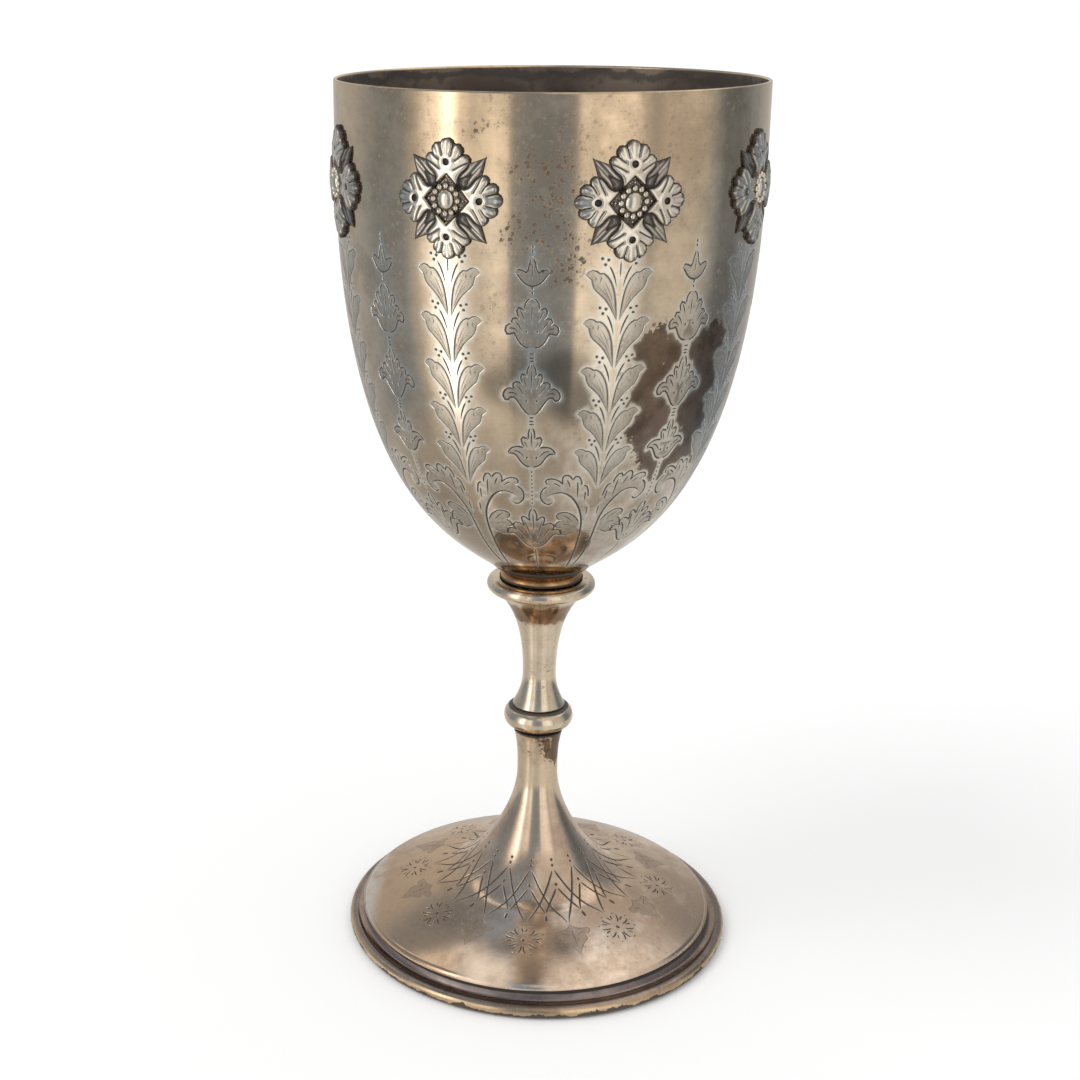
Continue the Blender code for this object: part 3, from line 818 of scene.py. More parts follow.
def bowl_finish():
    """Bowl: golden under the lip, greyer where it is engraved, browner and darker towards its foot (partly
    toning, partly painted shade), with painted shade beside its middle column and a painted reflection of the
    foot.
    """
    finish = Finish("bowl_silver")
    make = finish.make
    # Towards the foot the colour turns browner and darker: partly toning, partly painted shade
    low = make.between(finish.level, 0.135, 0.100)
    lifted = make.total(finish.level, make.part(make.noise(finish.place, 50.0, 3.0), 0.02))
    band = make.between(lifted, 0.164, 0.176)
    bright = make.blend(low, colour(0.88, 0.69, 0.48), colour(0.47, 0.39, 0.30))
    bright = make.blend(band, bright, colour(0.88, 0.67, 0.45))
    toned = make.blend(low, colour(0.60, 0.46, 0.32), colour(0.40, 0.31, 0.23))
    across, depth, _ = make.levels(finish.place)
    lower = make.between(finish.level, 0.150, 0.118)
    sides = make.highest([make.between(across, -0.004, 0.012), make.between(depth, -0.008, 0.0)])
    pale = make.part(lower, sides)
    bright = make.blend(make.part(pale, 0.9), bright, colour(0.74, 0.67, 0.58))
    bright = make.blend(make.part(finish.near(*BROWN_SIDE), 0.7), bright, colour(0.46, 0.34, 0.24))
    # Painted shade beside the middle column
    for centre, reach, tone in BOWL_PAINTED_SHADE:
        painted_shade = make.part(finish.near(centre, reach), 0.9)
        bright = make.blend(painted_shade, bright, colour(*tone))
        toned = make.blend(painted_shade, toned, colour(*(0.85 * value for value in tone)))
    # Copper-brown painted reflection of the foot
    bright = make.blend(make.part(finish.near(*PAINTED_FOOT_REFLECTION), 0.7), bright, colour(0.50, 0.31, 0.18))
    specks = make.total(0.4, make.part(finish.near_any(BOWL_SPECKLED), 2.6))
    grey = make.part(make.between(finish.level, 0.170, 0.158), make.slide(low, 1.0, 0.35))
    outer = finish.group(
        AGED_SILVER, Bright=bright, Toned=toned, Toning=0.85, Specks=specks,
        # Tarnish blots, with a painted dark reflection among them on the front right
        Patch=finish.near_any(BOWL_BLOTS), Grey=make.part(grey, 0.2), Cut=make.attribute("cut"),
        Halo=make.attribute("halo"), Matt=make.attribute("matt"), Roughness=0.05,
        # Painted shade where the bowl sits on the collar
        Crevice=finish.at_level(BOWL_SEAT, 1.6),
    )
    under = finish.group(DULL_INSIDE, Lip=BOWL_LIP * MM)
    below_lip = make.between(finish.level, (BOWL_LIP - 0.25) * MM, (BOWL_LIP - 0.5) * MM)
    within = make.part(make.rest(make.attribute("panel"), clamp=True), below_lip)
    return finish.close(outer, under, within)


def foot_finish():
    """Foot: pinkish, with painted highlights along its front and at its left edge, brown in clouds, black in
    its cuts.
    """
    finish = Finish("foot_silver")
    make = finish.make
    high = make.between(finish.level, 0.024, 0.034)
    across, depth, _ = make.levels(finish.place)
    left = make.between(across, -0.008, -0.02)
    bright = make.blend(left, colour(0.80, 0.62, 0.47), colour(0.74, 0.53, 0.36))
    # Whitish at the far left edge: painted highlight
    bright = make.blend(make.between(across, -0.032, -0.036), bright, colour(0.95, 0.86, 0.76))
    # A pale crescent along the front of the dome and a pale patch on the front of the flare: painted
    # highlights
    ring = make.between(make.reach(across, depth), 0.0285, 0.0345)
    front = make.part(ring, make.between(depth, -0.0215, -0.0285))
    aside = make.math("ABSOLUTE", make.total(across, -0.0005))
    stretch = make.part(make.between(across, -0.017, -0.009), make.between(aside, 0.0015, 0.0055))
    painted_front_highlight = make.part(front, stretch)
    painted_front_sheen = make.part(make.between(depth, -0.010, -0.022), make.between(across, -0.011, -0.005))
    bright = make.blend(make.part(painted_front_sheen, 0.8), bright, colour(0.90, 0.82, 0.76))
    bright = make.blend(painted_front_highlight, bright, colour(0.97, 0.76, 0.58))
    bright = make.blend(high, bright, colour(0.84, 0.68, 0.50))
    speckled = finish.near((2.0, -4.5, 42.5), 8.5)
    stained = make.part(finish.near((5.2, -2.5, 42.5), 7.0), 0.82)
    outer = finish.group(
        AGED_SILVER, Bright=bright, Toned=colour(0.52, 0.37, 0.26), Toning=0.75,
        Specks=make.total(0.3, make.part(speckled, 2.6)), Cut=make.attribute("cut"),
        Halo=make.part(make.attribute("halo"), 0.25), Matt=make.attribute("matt"), Roughness=0.13,
        # Painted shade at the foot's top, under the knop; the painted front highlight also lowers the metal
        # here
        Frost=colour(0.27, 0.22, 0.18), Crevice=finish.at_level(FOOT_TOP, 0.9), Patch=stained, Dull=painted_front_highlight,
    )
    return finish.close(outer)


def rim_finish():
    """Foot rim: violet-grey in the hollow, brass-coloured on the bead, black where it meets the table, with
    painted shade under the dome's edge.
    """
    finish = Finish("rim_silver")
    make = finish.make
    hollow = make.between(finish.level, 0.0021, 0.0027)
    bright = make.blend(hollow, colour(0.78, 0.58, 0.38), colour(0.34, 0.28, 0.27))
    toned = make.blend(hollow, colour(0.50, 0.36, 0.24), colour(0.18, 0.15, 0.155))
    worn = make.total(finish.level, make.part(make.noise(finish.place, 260.0, 5.0, 0.75), 0.0036))
    foot_line = make.between(worn, 0.0032, 0.0029)
    outer = finish.group(
        AGED_SILVER, Bright=bright, Toned=toned, Toning=0.8, Specks=0.5,
        Roughness=make.total(0.16, make.part(hollow, 0.1)),
        # Black crust where the rim meets the table, and painted shade under the dome's edge
        Crevice=make.highest([foot_line, make.between(finish.level, 0.0034, 0.0039)]),
    )
    return finish.close(outer)


def stem_finish():
    """Stem and knop: bright bands between specked brown ones, painted shade where they join."""
    finish = Finish("stem_silver")
    make = finish.make
    # Painted shade at the knop's two joints
    painted_join_shade = [finish.at_level(KNOP_LOW, 0.5), finish.at_level(KNOP_HIGH, 0.8)]
    speckled = make.highest([finish.at_level(59.0, 4.0), finish.at_level(72.5, 4.5)])
    ragged = make.noise(finish.place, 700.0, 5.0, 0.7)
    stain = make.between(make.total(finish.at_level(72.6, 4.5), ragged), 0.85, 1.2)
    bright = make.blend(make.part(stain, 0.9), colour(0.94, 0.80, 0.62), colour(0.33, 0.19, 0.10))
    toned = make.blend(make.part(stain, 0.9), colour(0.62, 0.48, 0.34), colour(0.22, 0.13, 0.07))
    specks = make.total(0.35, make.part(speckled, 1.6))
    outer = finish.group(
        AGED_SILVER, Bright=bright, Toned=toned, Toning=0.5, Specks=specks, Roughness=0.12,
        Crevice=make.highest(painted_join_shade), Grey=0.05,
    )
    return finish.close(outer)


def collar_finish():
    """Collar: gilt worn to copper, with painted shade at both seats."""
    finish = Finish("collar_gilt")
    base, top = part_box("bowl_collar")[0].z / MM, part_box("bowl_collar")[1].z / MM
    outer = finish.group(
        AGED_SILVER, Bright=colour(0.80, 0.55, 0.28), Toned=colour(0.45, 0.24, 0.12), Toning=0.9, Specks=0.4,
        # Painted shade at both seats
        Roughness=0.18, Crevice=finish.make.highest([finish.at_level(base, 0.8), finish.at_level(top, 0.35)]),
    )
    return finish.close(outer)


def rosette_finish():
    """Rosettes: struck silver, dark where the relief is low, with painted shade along their edges."""
    finish = Finish("rosette_silver")
    return finish.close(finish.group(STRUCK_SILVER, Dark=finish.make.attribute("dark")))


# Bowl
bowl_widening = BOWL_RADIUS - BOWL_SEAT_RADIUS
bowl_rise = BOWL_BELLY - BOWL_SEAT
bowl_handles = (
    (BOWL_SEAT_RADIUS, BOWL_SEAT),
    (BOWL_SEAT_RADIUS + 0.21 * bowl_widening, BOWL_SEAT + 0.075 * bowl_rise),
    (BOWL_RADIUS, BOWL_SEAT + 0.155 * bowl_rise),
    (BOWL_RADIUS, BOWL_BELLY),
)
bowl_upright = [(BOWL_RADIUS, BOWL_BELLY + 5.0), (BOWL_RADIUS, BOWL_LIP - 0.5 * BOWL_WALL)]
bowl_side = Side(np.vstack([curve(bowl_handles, 400), bowl_upright]))
bowl_panel = Panel(bowl_side, BOWL_RADIUS, 1.25)
ENGRAVED_BELOW = 157.0


def on_bowl(points, tier=0.0, size=1.0):
    """Angle and height of points drawn across and above, in millimetres, from the middle of an ornament."""
    points = np.array(points, float) * size
    height = points[:, 1] + tier
    radius = bowl_side.at(bowl_side.reach_of_height(height))[0]
    return points[:, 0] / radius, height


def on_palmette(points):
    """Flat places of points drawn from the middle of the column of palmettes."""
    return bowl_panel.flat(*on_bowl(points))


def on_vine(points, tier=0.0, size=1.0):
    """Flat places of points drawn from the middle of a vine."""
    angle, height = on_bowl(points, tier, size)
    return bowl_panel.flat(HALF_SECTOR - angle, height)


def joined(*lines):
    """Lines of points, each starting where the one before it ended."""
    result = [lines[0]]
    for line in lines[1:]:
        result.append((result[-1][-1], *line))
    return result


def upright(*levels):
    """Points on the middle line of an ornament."""
    return [(0.0, level) for level in levels]


# Every stroke below is a half width, a depth and the shares of its length that thin at its start and its end.
# Every pit is a radius and a depth.

# Vine: one leaf, from the tip of the leaf as the level, and its berries
LEAF_INNER = (
    (0.22, -8.4), (0.42, -6.9), (0.62, -5.3), (0.85, -3.9), (1.2, -2.6), (1.75, -1.4),
    (2.45, -0.45), (3.2, 0.1), (3.75, 0.0), (4.3, 0.4), (5.0, 0.65), (5.8, 0.5), (6.5, -0.1),
)
LEAF_OUTER = (
    (6.5, -0.1), (5.85, -0.6), (5.45, -0.75), (5.2, -1.3), (5.05, -2.0), (4.6, -2.8), (3.9, -3.4),
    (3.1, -4.1), (2.3, -4.9), (1.7, -5.8), (1.15, -6.7), (0.7, -7.6), (0.32, -8.4),
)
LEAF_FOLDS = (((3.7, -0.1), (3.55, -0.9), (3.75, -1.7)), ((4.6, -0.35), (4.5, -0.9), (4.65, -1.4)))
LEAF_VEINS = (
    ((0.9, -6.6), (1.6, -5.0), (2.4, -3.4), (3.3, -1.9)),
    ((1.2, -4.9), (1.75, -3.5), (2.4, -2.2), (3.0, -1.2)),
    ((1.9, -4.6), (2.8, -3.4), (3.7, -2.5), (4.5, -1.9)),
)
BERRIES = ((3.5, 2.65), (2.35, 2.4), (2.9, 1.6))
BERRY_STALK = ((2.25, 1.5), (1.65, 0.6), (1.2, -0.4), (0.85, -1.4), (0.55, -2.7))
VINE_TIERS = ((148.5, 1.0), (139.9, 1.0), (131.1, 0.98), (123.0, 0.94), (115.3, 0.9))
INNER_STROKE, OUTER_STROKE = (0.23, 0.055, 0.2, 0.15), (0.19, 0.045, 0.15, 0.3)
FOLD_STROKE, VEIN_STROKE = (0.16, 0.05, 0.2, 0.6), (0.11, 0.03, 0.5, 0.5)
STALK_STROKE, SPRIG_STROKE = (0.18, 0.11, 0.15, 0.5), (0.16, 0.1, 0.1, 0.4)
BERRY_PIT = (0.36, 0.16)

for tier, size in VINE_TIERS:

    def at_tier(points):
        return on_vine(points, tier, size)

    inner = bowl_panel.cut(at_tier(LEAF_INNER), *INNER_STROKE)
    outer = bowl_panel.cut(at_tier(LEAF_OUTER), *OUTER_STROKE)
    bowl_panel.fill(np.vstack([inner, outer]), 1.0, outer)
    bowl_panel.cut_all(at_tier, LEAF_FOLDS, FOLD_STROKE)
    bowl_panel.cut_all(at_tier, LEAF_VEINS, VEIN_STROKE)
    bowl_panel.cut(at_tier(BERRY_STALK), *STALK_STROKE)
    bowl_panel.pit_all(at_tier(BERRIES), BERRY_PIT)
bowl_panel.cut(on_vine(upright(150.9, 149.0, 147.6)), *SPRIG_STROKE)

# Palmettes, from the top of the column downwards
FLEUR = ((0.0, 151.7), (0.5, 150.5), (0.72, 149.4), (1.1, 148.7), (1.7, 149.05), (2.45, 149.3), (3.2, 148.8))
FLEUR_BASE = ((3.25, 148.75), (2.65, 148.3), (2.15, 147.6), (1.55, 146.95), (0.8, 146.55), (0.0, 146.35))
PALMETTES = (
    {
        "outline": joined(
            ((0.0, 144.3), (0.75, 144.0), (1.25, 143.3), (1.35, 142.5), (1.15, 141.8)),
            ((1.75, 142.3), (2.4, 142.6), (2.75, 142.0), (2.6, 141.2), (2.2, 140.4)),
            ((2.9, 140.7), (3.5, 140.6), (3.75, 139.9), (3.45, 139.4)),
            (
                (4.1, 139.65), (4.75, 139.1), (4.9, 138.4), (4.6, 137.75), (4.0, 137.7), (3.6, 138.1),
                (3.1, 137.9), (2.75, 137.1), (2.2, 136.2), (1.5, 135.6), (0.7, 135.35), (0.0, 135.3),
            ),
        ),
        "veins": (
            ((2.3, 142.3), (1.75, 141.3), (1.2, 139.9)),
            ((3.3, 140.3), (2.4, 139.4), (1.6, 137.9)),
            ((4.4, 138.4), (3.8, 138.9), (3.0, 138.7), (2.3, 137.7)),
            upright(143.4, 141.6, 139.4),
        ),
        "dot": (1.0, 138.3),
    },
    {
        "outline": joined(
            ((0.0, 132.5), (0.5, 131.9), (0.8, 131.1), (0.85, 130.4), (0.7, 129.8)),
            ((1.2, 130.3), (1.75, 130.6), (2.0, 130.0), (1.85, 129.2), (1.6, 128.4)),
            ((2.3, 128.9), (3.0, 129.0), (3.5, 128.5), (3.3, 127.7), (3.0, 127.3)),
            (
                (3.8, 127.8), (4.6, 127.6), (5.2, 126.9), (5.3, 126.1), (4.9, 125.5), (4.3, 125.5),
                (3.95, 126.0), (3.4, 126.1), (2.8, 125.6), (2.2, 124.7), (1.5, 123.7), (0.8, 122.95),
                (0.0, 122.7),
            ),
        ),
        "veins": (
            ((1.6, 130.1), (1.2, 129.0), (0.85, 127.6)),
            ((3.0, 128.5), (2.1, 127.6), (1.3, 126.2)),
            ((4.6, 126.3), (4.0, 126.9), (3.1, 126.8), (2.2, 125.8)),
            upright(131.6, 129.8, 127.0),
        ),
        "dot": (0.95, 125.4),
    },
    {
        "outline": joined(
            ((0.0, 120.4), (0.45, 119.7), (0.6, 118.9), (0.6, 118.1), (0.5, 117.6)),
            ((1.0, 118.1), (1.75, 118.3), (1.95, 117.6), (1.6, 116.7), (1.25, 116.0)),
            ((2.0, 116.3), (3.0, 116.3), (3.9, 115.9), (4.45, 115.1), (4.5, 114.6)),
            ((3.8, 115.0), (3.1, 114.7), (2.5, 113.9), (1.8, 112.9), (0.9, 112.3), (0.0, 112.2)),
        ),
        "veins": (
            ((1.5, 117.8), (1.1, 116.9), (0.7, 115.8)),
            ((3.6, 115.5), (2.6, 115.4), (1.8, 114.7), (1.2, 113.9)),
            upright(119.5, 118.0, 115.9),
        ),
        "dot": (0.9, 114.1),
    },
    {
        "outline": joined(
            ((0.0, 103.1), (0.5, 102.4), (0.75, 101.5), (0.7, 100.6), (0.55, 99.9)),
            ((1.1, 100.6), (1.8, 101.2), (2.25, 100.7), (2.0, 99.6), (1.6, 98.7)),
            ((2.4, 99.3), (3.3, 99.6), (4.0, 98.9), (3.6, 98.0), (3.2, 97.6)),
            (
                (4.0, 98.1), (4.8, 98.0), (5.3, 97.1), (4.9, 96.6), (4.1, 96.9), (3.3, 96.2), (2.5, 95.0),
                (1.6, 93.9), (0.8, 93.4), (0.0, 93.2),
            ),
        ),
        "veins": (
            ((1.9, 100.6), (1.4, 99.0), (0.9, 97.2), (0.6, 95.6)),
            ((3.7, 98.8), (2.6, 97.6), (1.7, 96.0), (1.0, 94.8)),
            upright(102.2, 100.0, 97.0),
        ),
        "dot": (0.45, 94.6),
    },
)
BARS = (134.25, 133.44, 132.89, 122.14, 121.45, 120.85)
BEADS = (153.2, 152.4, 145.95, 145.15)
SMALL_BEADS = np.arange(104.3, 111.2, 0.85)
FLEUR_STROKE, FLEUR_BASE_STROKE = (0.2, 0.11, 0.15, 0.15), (0.22, 0.12, 0.15, 0.0)
FLEUR_VEIN_STROKE = (0.15, 0.09, 0.4, 0.4)
PALMETTE_STROKE, PALMETTE_VEIN_STROKE = (0.22, 0.13, 0.12, 0.12), (0.17, 0.1, 0.25, 0.5)
BAR_STROKE, STEM_STROKE = (0.16, 0.12, 0.0, 0.3), (0.16, 0.1, 0.1, 0.3)
DOT_PIT, BEAD_PIT, SMALL_BEAD_PIT = (0.32, 0.15), (0.3, 0.15), (0.26, 0.13)

fleur = bowl_panel.cut(on_palmette(FLEUR), *FLEUR_STROKE)
fleur_base = bowl_panel.cut(on_palmette(FLEUR_BASE), *FLEUR_BASE_STROKE)
bowl_panel.fill(np.vstack([fleur, fleur_base]), 0.8, fleur_base)
bowl_panel.cut(on_palmette(upright(150.6, 149.0, 147.4)), *FLEUR_VEIN_STROKE)
for palmette in PALMETTES:
    border = bowl_panel.cut_all(on_palmette, palmette["outline"], PALMETTE_STROKE)
    bowl_panel.fill(np.vstack(border), 0.8, border[-1])
    bowl_panel.cut_all(on_palmette, palmette["veins"], PALMETTE_VEIN_STROKE)
    bowl_panel.pit_all(on_palmette([palmette["dot"]]), DOT_PIT)
bars = [[(across, level) for across in (0.0, 0.3, 0.6)] for level in BARS]
bowl_panel.cut_all(on_palmette, bars, BAR_STROKE)
bowl_panel.pit_all(on_palmette(upright(*BEADS)), BEAD_PIT)
bowl_panel.pit_all(on_palmette(upright(*SMALL_BEADS)), SMALL_BEAD_PIT)
bowl_panel.cut(on_palmette(upright(93.1, 90.0, 86.2)), *STEM_STROKE)

# Acanthus scroll that the vine springs from, drawn from the middle of the vine
SCROLL = (
    (0.5, 86.2), (0.9, 90.0), (1.25, 94.2), (1.4, 97.0), (1.7, 99.8), (2.4, 102.2), (3.5, 104.2),
    (4.9, 105.8), (6.4, 106.6), (7.8, 106.65), (8.9, 106.2), (9.3, 105.5),
)
SCROLL_HOOK = (
    (7.9, 104.9), (8.5, 104.2), (9.3, 104.1), (10.1, 104.7), (10.65, 105.6), (10.75, 106.6),
    (10.3, 107.6), (9.5, 108.2),
)
SCROLL_LOBES = joined(
    (SCROLL_HOOK[-1], (10.2, 108.9), (10.0, 109.6), (9.0, 109.75), (8.0, 109.4), (7.2, 108.9), (6.7, 108.3)),
    ((7.1, 109.4), (6.9, 110.4), (6.1, 110.5), (5.4, 109.9), (4.9, 109.2)),
    ((4.9, 110.0), (4.3, 110.3), (3.7, 109.8), (3.3, 109.0), (3.1, 108.0)),
    ((2.4, 108.2), (1.9, 107.6), (1.6, 106.6), (1.4, 105.4)),
)
SCROLL_FOLDS = (
    ((8.9, 108.9), (7.8, 108.4), (6.9, 107.7)),
    ((6.3, 109.6), (5.7, 108.7), (5.2, 107.6)),
    ((4.2, 109.2), (3.9, 108.0), (3.7, 106.6), (3.4, 105.2)),
    ((2.2, 107.0), (2.1, 105.8), (1.9, 104.5)),
    ((1.2, 103.6), (1.1, 102.4), (1.0, 101.2)),
)
SIDE_LEAF = joined(
    ((2.0, 99.5), (3.0, 100.9), (4.3, 101.9), (5.7, 102.2), (6.8, 101.6), (6.4, 100.6), (5.6, 100.3)),
    ((6.4, 99.7), (6.6, 98.8), (5.8, 98.4), (5.0, 98.5)),
    ((5.4, 97.6), (5.0, 96.8), (4.2, 96.6), (3.3, 97.0), (2.3, 97.4)),
)
SIDE_VEINS = (((5.9, 101.5), (4.6, 101.0), (3.2, 99.6)), ((5.6, 99.2), (4.4, 99.2), (3.0, 98.5)))
SCROLL_STROKE, HOOK_STROKE = (0.24, 0.15, 0.15, 0.12), (0.22, 0.14, 0.2, 0.1)
LOBE_STROKE, LOBE_FOLD_STROKE = (0.2, 0.13, 0.15, 0.15), (0.18, 0.11, 0.2, 0.5)
SIDE_LEAF_STROKE, SIDE_VEIN_STROKE = (0.17, 0.11, 0.15, 0.15), (0.13, 0.08, 0.2, 0.5)

scroll = bowl_panel.cut(on_vine(SCROLL), *SCROLL_STROKE)
hook = bowl_panel.cut(on_vine(SCROLL_HOOK), *HOOK_STROKE)
border = [scroll[len(scroll) // 3:], hook[len(hook) // 3:]]
border += bowl_panel.cut_all(on_vine, SCROLL_LOBES, LOBE_STROKE)
bowl_panel.fill(np.vstack(border), 0.8, scroll)
bowl_panel.cut_all(on_vine, SCROLL_FOLDS, LOBE_FOLD_STROKE)
border = bowl_panel.cut_all(on_vine, SIDE_LEAF, SIDE_LEAF_STROKE)
bowl_panel.fill(np.vstack(border), 0.7)
bowl_panel.cut_all(on_vine, SIDE_VEINS, SIDE_VEIN_STROKE)


def bowl_drift(angle, height):
    """How far the hand-laid ornament strays round the bowl."""
    stray = -(0.85 + 1.5 * np.sin(angle)) / BOWL_RADIUS
    below, above = (ENGRAVED_BELOW - height) / 3.0, (height - BOWL_SEAT) / 20.0
    return stray * np.clip(below, 0.0, 1.0) * np.clip(above, 0.0, 1.0)


def make_bowl(material):
    """Bowl with its chased side, rounded lip, plain inside and dished floor."""
    plain = bowl_side.reach_of_height(ENGRAVED_BELOW - 1.0) * bowl_panel.scale
    shape = bowl_panel.shape(plain)
    all_round(bowl_panel, shape, bowl_drift)
    half_wall = 0.5 * BOWL_WALL
    lip = arc((BOWL_RADIUS - half_wall, BOWL_LIP - half_wall), half_wall, 0.0, 180.0, 6)[1:]
    inner = []
    for radius, height, across, up in zip(*bowl_side.at(np.linspace(bowl_side.reach[-1], 0.25, 30)[1:])):
        inner.append((radius - BOWL_WALL * across, height - BOWL_WALL * up))
    floor = BOWL_SEAT + 1.1
    last = inner[-1]
    dish = curve((last, (0.75 * last[0], floor), (0.4 * last[0], floor), (0.4, floor)), 6)[1:]
    close_shell(shape, True, np.vstack([lip, inner, dish]))
    close_shell(shape, False, [(6.0, BOWL_SEAT), (0.5, BOWL_SEAT)])
    mesh = soften(plain_mesh("bowl_chased", shape), TURNED_SHARP)
    true_normals(mesh, bowl_side)
    return add_piece("bowl_chased", mesh, material, "bowl_silver", "bowl")


def spin_round(shape, verts, edges, steps):
    """Turn a line about the goblet's axis."""
    bmesh.ops.spin(
        shape, geom=verts + edges, cent=(0, 0, 0), axis=(0, 0, 1), angle=math.tau, steps=steps, use_merge=True
    )


def turned(name, outline, steps, material, slot, node, aside=0.0):
    """Piece spun from a closed or axis-to-axis outline of (radius, height) points."""
    shape = bmesh.new()
    verts = [shape.verts.new((radius * MM, 0.0, height * MM)) for radius, height in outline]
    edges = [shape.edges.new(pair) for pair in zip(verts, verts[1:])]
    if outline[0][0] > 1e-6:
        edges.append(shape.edges.new((verts[-1], verts[0])))
    spin_round(shape, verts, edges, steps)
    bmesh.ops.remove_doubles(shape, verts=shape.verts, dist=1e-6)
    bmesh.ops.recalc_face_normals(shape, faces=shape.faces)
    bmesh.ops.translate(shape, verts=shape.verts, vec=(aside * MM, 0.0, 0.0))
    return add_piece(name, soften(plain_mesh(name, shape), TURNED_SHARP), material, slot, node)


# Foot: dome and flare, engraved, drawn up into the lower stem
DOME_EDGE_LEVEL = FOOT_SEAT + 0.45
DOME_RISE, FLARE_RISE = 6.4, 24.25
DOME_SHOULDER = (19.6, FOOT_SEAT + 6.85)
WAIST_RADIUS = 4.25
WAIST_LEVEL = DOME_SHOULDER[1] + FLARE_RISE
FOOT_TOP_RADIUS = 5.2
dome_reach = FOOT_RADIUS - DOME_SHOULDER[0]
dome_handles = (
    (FOOT_RADIUS, DOME_EDGE_LEVEL),
    (FOOT_RADIUS - 0.34 * dome_reach, DOME_EDGE_LEVEL + 0.45 * DOME_RISE),
    (DOME_SHOULDER[0] + 0.38 * dome_reach, DOME_SHOULDER[1] - 0.26 * DOME_RISE),
    DOME_SHOULDER,
)
flare_handles = (
    DOME_SHOULDER,
    (DOME_SHOULDER[0] - 0.32 * dome_reach, DOME_SHOULDER[1] + 0.22 * DOME_RISE),
    (WAIST_RADIUS, WAIST_LEVEL - 0.425 * FLARE_RISE),
    (WAIST_RADIUS, WAIST_LEVEL),
)
neck_handles = (
    (WAIST_RADIUS, WAIST_LEVEL), (WAIST_RADIUS, WAIST_LEVEL + 3.6), (WAIST_RADIUS, WAIST_LEVEL + 5.9),
    (FOOT_TOP_RADIUS, FOOT_TOP),
)
dome_line = curve(dome_handles, 300)
dome_line = dome_line[dome_line[:, 0] < FOOT_RADIUS - 0.9]
rolled_handles = (
    (FOOT_RADIUS, FOOT_SEAT + 0.12), (FOOT_RADIUS, FOOT_SEAT + 0.4),
    (FOOT_RADIUS - 0.3, FOOT_SEAT + 0.6), (dome_line[0][0], dome_line[0][1]),
)
foot_line = np.vstack([curve(rolled_handles, 30)[:-1], dome_line, curve(flare_handles, 300)[1:]])
ENGRAVED_TO = 9.6
engraved = foot_line[foot_line[:, 0] >= ENGRAVED_TO]
foot_side = Side(engraved)
foot_panel = Panel(foot_side, 30.0, 1.15)
FLOWER_RADIUS, FLOWER_SQUASH = 26.6, 0.9


def on_foot(points):
    """Flat places of points drawn as degrees from a flower's middle and radius."""
    points = np.array(points, float)
    reach = np.interp(points[:, 1], foot_side.radius[::-1], foot_side.reach[::-1])
    return np.column_stack([np.radians(points[:, 0]), reach]) * foot_panel.scale


def round_flower(points):
    """Degrees and radius of points drawn as millimetres across and outward from a flower's middle."""
    return [(math.degrees(across / (FLOWER_RADIUS + out)), FLOWER_RADIUS + out) for across, out in points]


LONG_ARC = (
    (0.8, 11.9), (4.0, 12.9), (8.5, 14.6), (13.0, 16.6), (17.5, 18.9), (20.6, 20.9), (22.1, 22.6),
)
SHORT_ARC = ((0.6, 14.6), (3.5, 15.6), (7.0, 17.0), (9.6, 18.3), (11.1, 19.5))
ARC_STEP = 22.5
ARC_STROKE, LOZENGE_STROKE = (0.25, 0.16, 0.15, 0.2), (0.36, 0.17, 0.1, 0.2)
ARC_PIT, CROSSING_PIT, FLOWER_PIT = (0.36, 0.17), (0.4, 0.18), (0.45, 0.18)
for line in (LONG_ARC, SHORT_ARC):
    foot_panel.cut(on_foot(line), *ARC_STROKE)
    foot_panel.cut(on_foot([(ARC_STEP - angle, radius) for angle, radius in line]), *ARC_STROKE)
for angle in (0.0, ARC_STEP):
    foot_panel.pit_all(on_foot([(angle, 11.3), (angle, 10.6)]), ARC_PIT)
    foot_panel.pit_all(on_foot([(angle, 14.05)]), CROSSING_PIT)
foot_panel.cut(on_foot([(0.5 * ARC_STEP, radius) for radius in (19.9, 20.8, 21.7)]), *LOZENGE_STROKE)

# Flower: one petal, drawn outward and aside from its middle, and the pendant between two flowers
PETAL = (
    ((1.3, -0.3), (2.2, -0.66), (3.2, -0.76), (3.85, -0.45)), ((4.1, -0.2), (4.15, 0.15), (3.9, 0.5)),
    ((3.6, 0.72), (2.7, 0.74), (1.9, 0.5)),
)
PETAL_STROKE = (0.19, 0.15, 0.25, 0.25)
for petal in range(4):
    lean = math.radians(22.5 + 45.0 * petal)
    for line in PETAL:
        places = []
        for out, side in line:
            outward = out * math.cos(lean) - side * math.sin(lean)
            places.append((out * math.sin(lean) + side * math.cos(lean), FLOWER_SQUASH * outward))
        foot_panel.cut(on_foot(round_flower(places)), *PETAL_STROKE)
foot_panel.pit_all(on_foot([(0.0, FLOWER_RADIUS)]), FLOWER_PIT)
PENDANT = joined(
    ((0.0, 22.8), (0.6, 23.6), (1.8, 24.3), (3.3, 24.4), (3.9, 25.0), (3.2, 25.9), (2.3, 26.0)),
    ((2.7, 26.9), (1.9, 27.7), (1.2, 28.4), (0.5, 29.5), (0.0, 30.7)),
)
PENDANT_VEINS = (upright(23.8, 26.0, 29.0), ((0.5, 25.8), (1.5, 25.4), (2.7, 25.0)))
PENDANT_STROKE, PENDANT_VEIN_STROKE = (0.12, 0.04, 0.2, 0.2), (0.14, 0.05, 0.3, 0.4)


def on_pendant(points):
    """Flat places of points drawn across, at a radius, from the middle of a pendant."""
    return on_foot([(ARC_STEP - math.degrees(across / radius), radius) for across, radius in points])


border = foot_panel.cut_all(on_pendant, PENDANT, PENDANT_STROKE)
foot_panel.fill(np.vstack(border + [on_pendant(upright(26.0))]), 0.5)
foot_panel.cut_all(on_pendant, PENDANT_VEINS, PENDANT_VEIN_STROKE)


def foot_drift(angle, height):
    """How far the engraving strays round the foot."""
    return np.radians(-2.3) + 0.012 * np.sin(3.0 * angle)


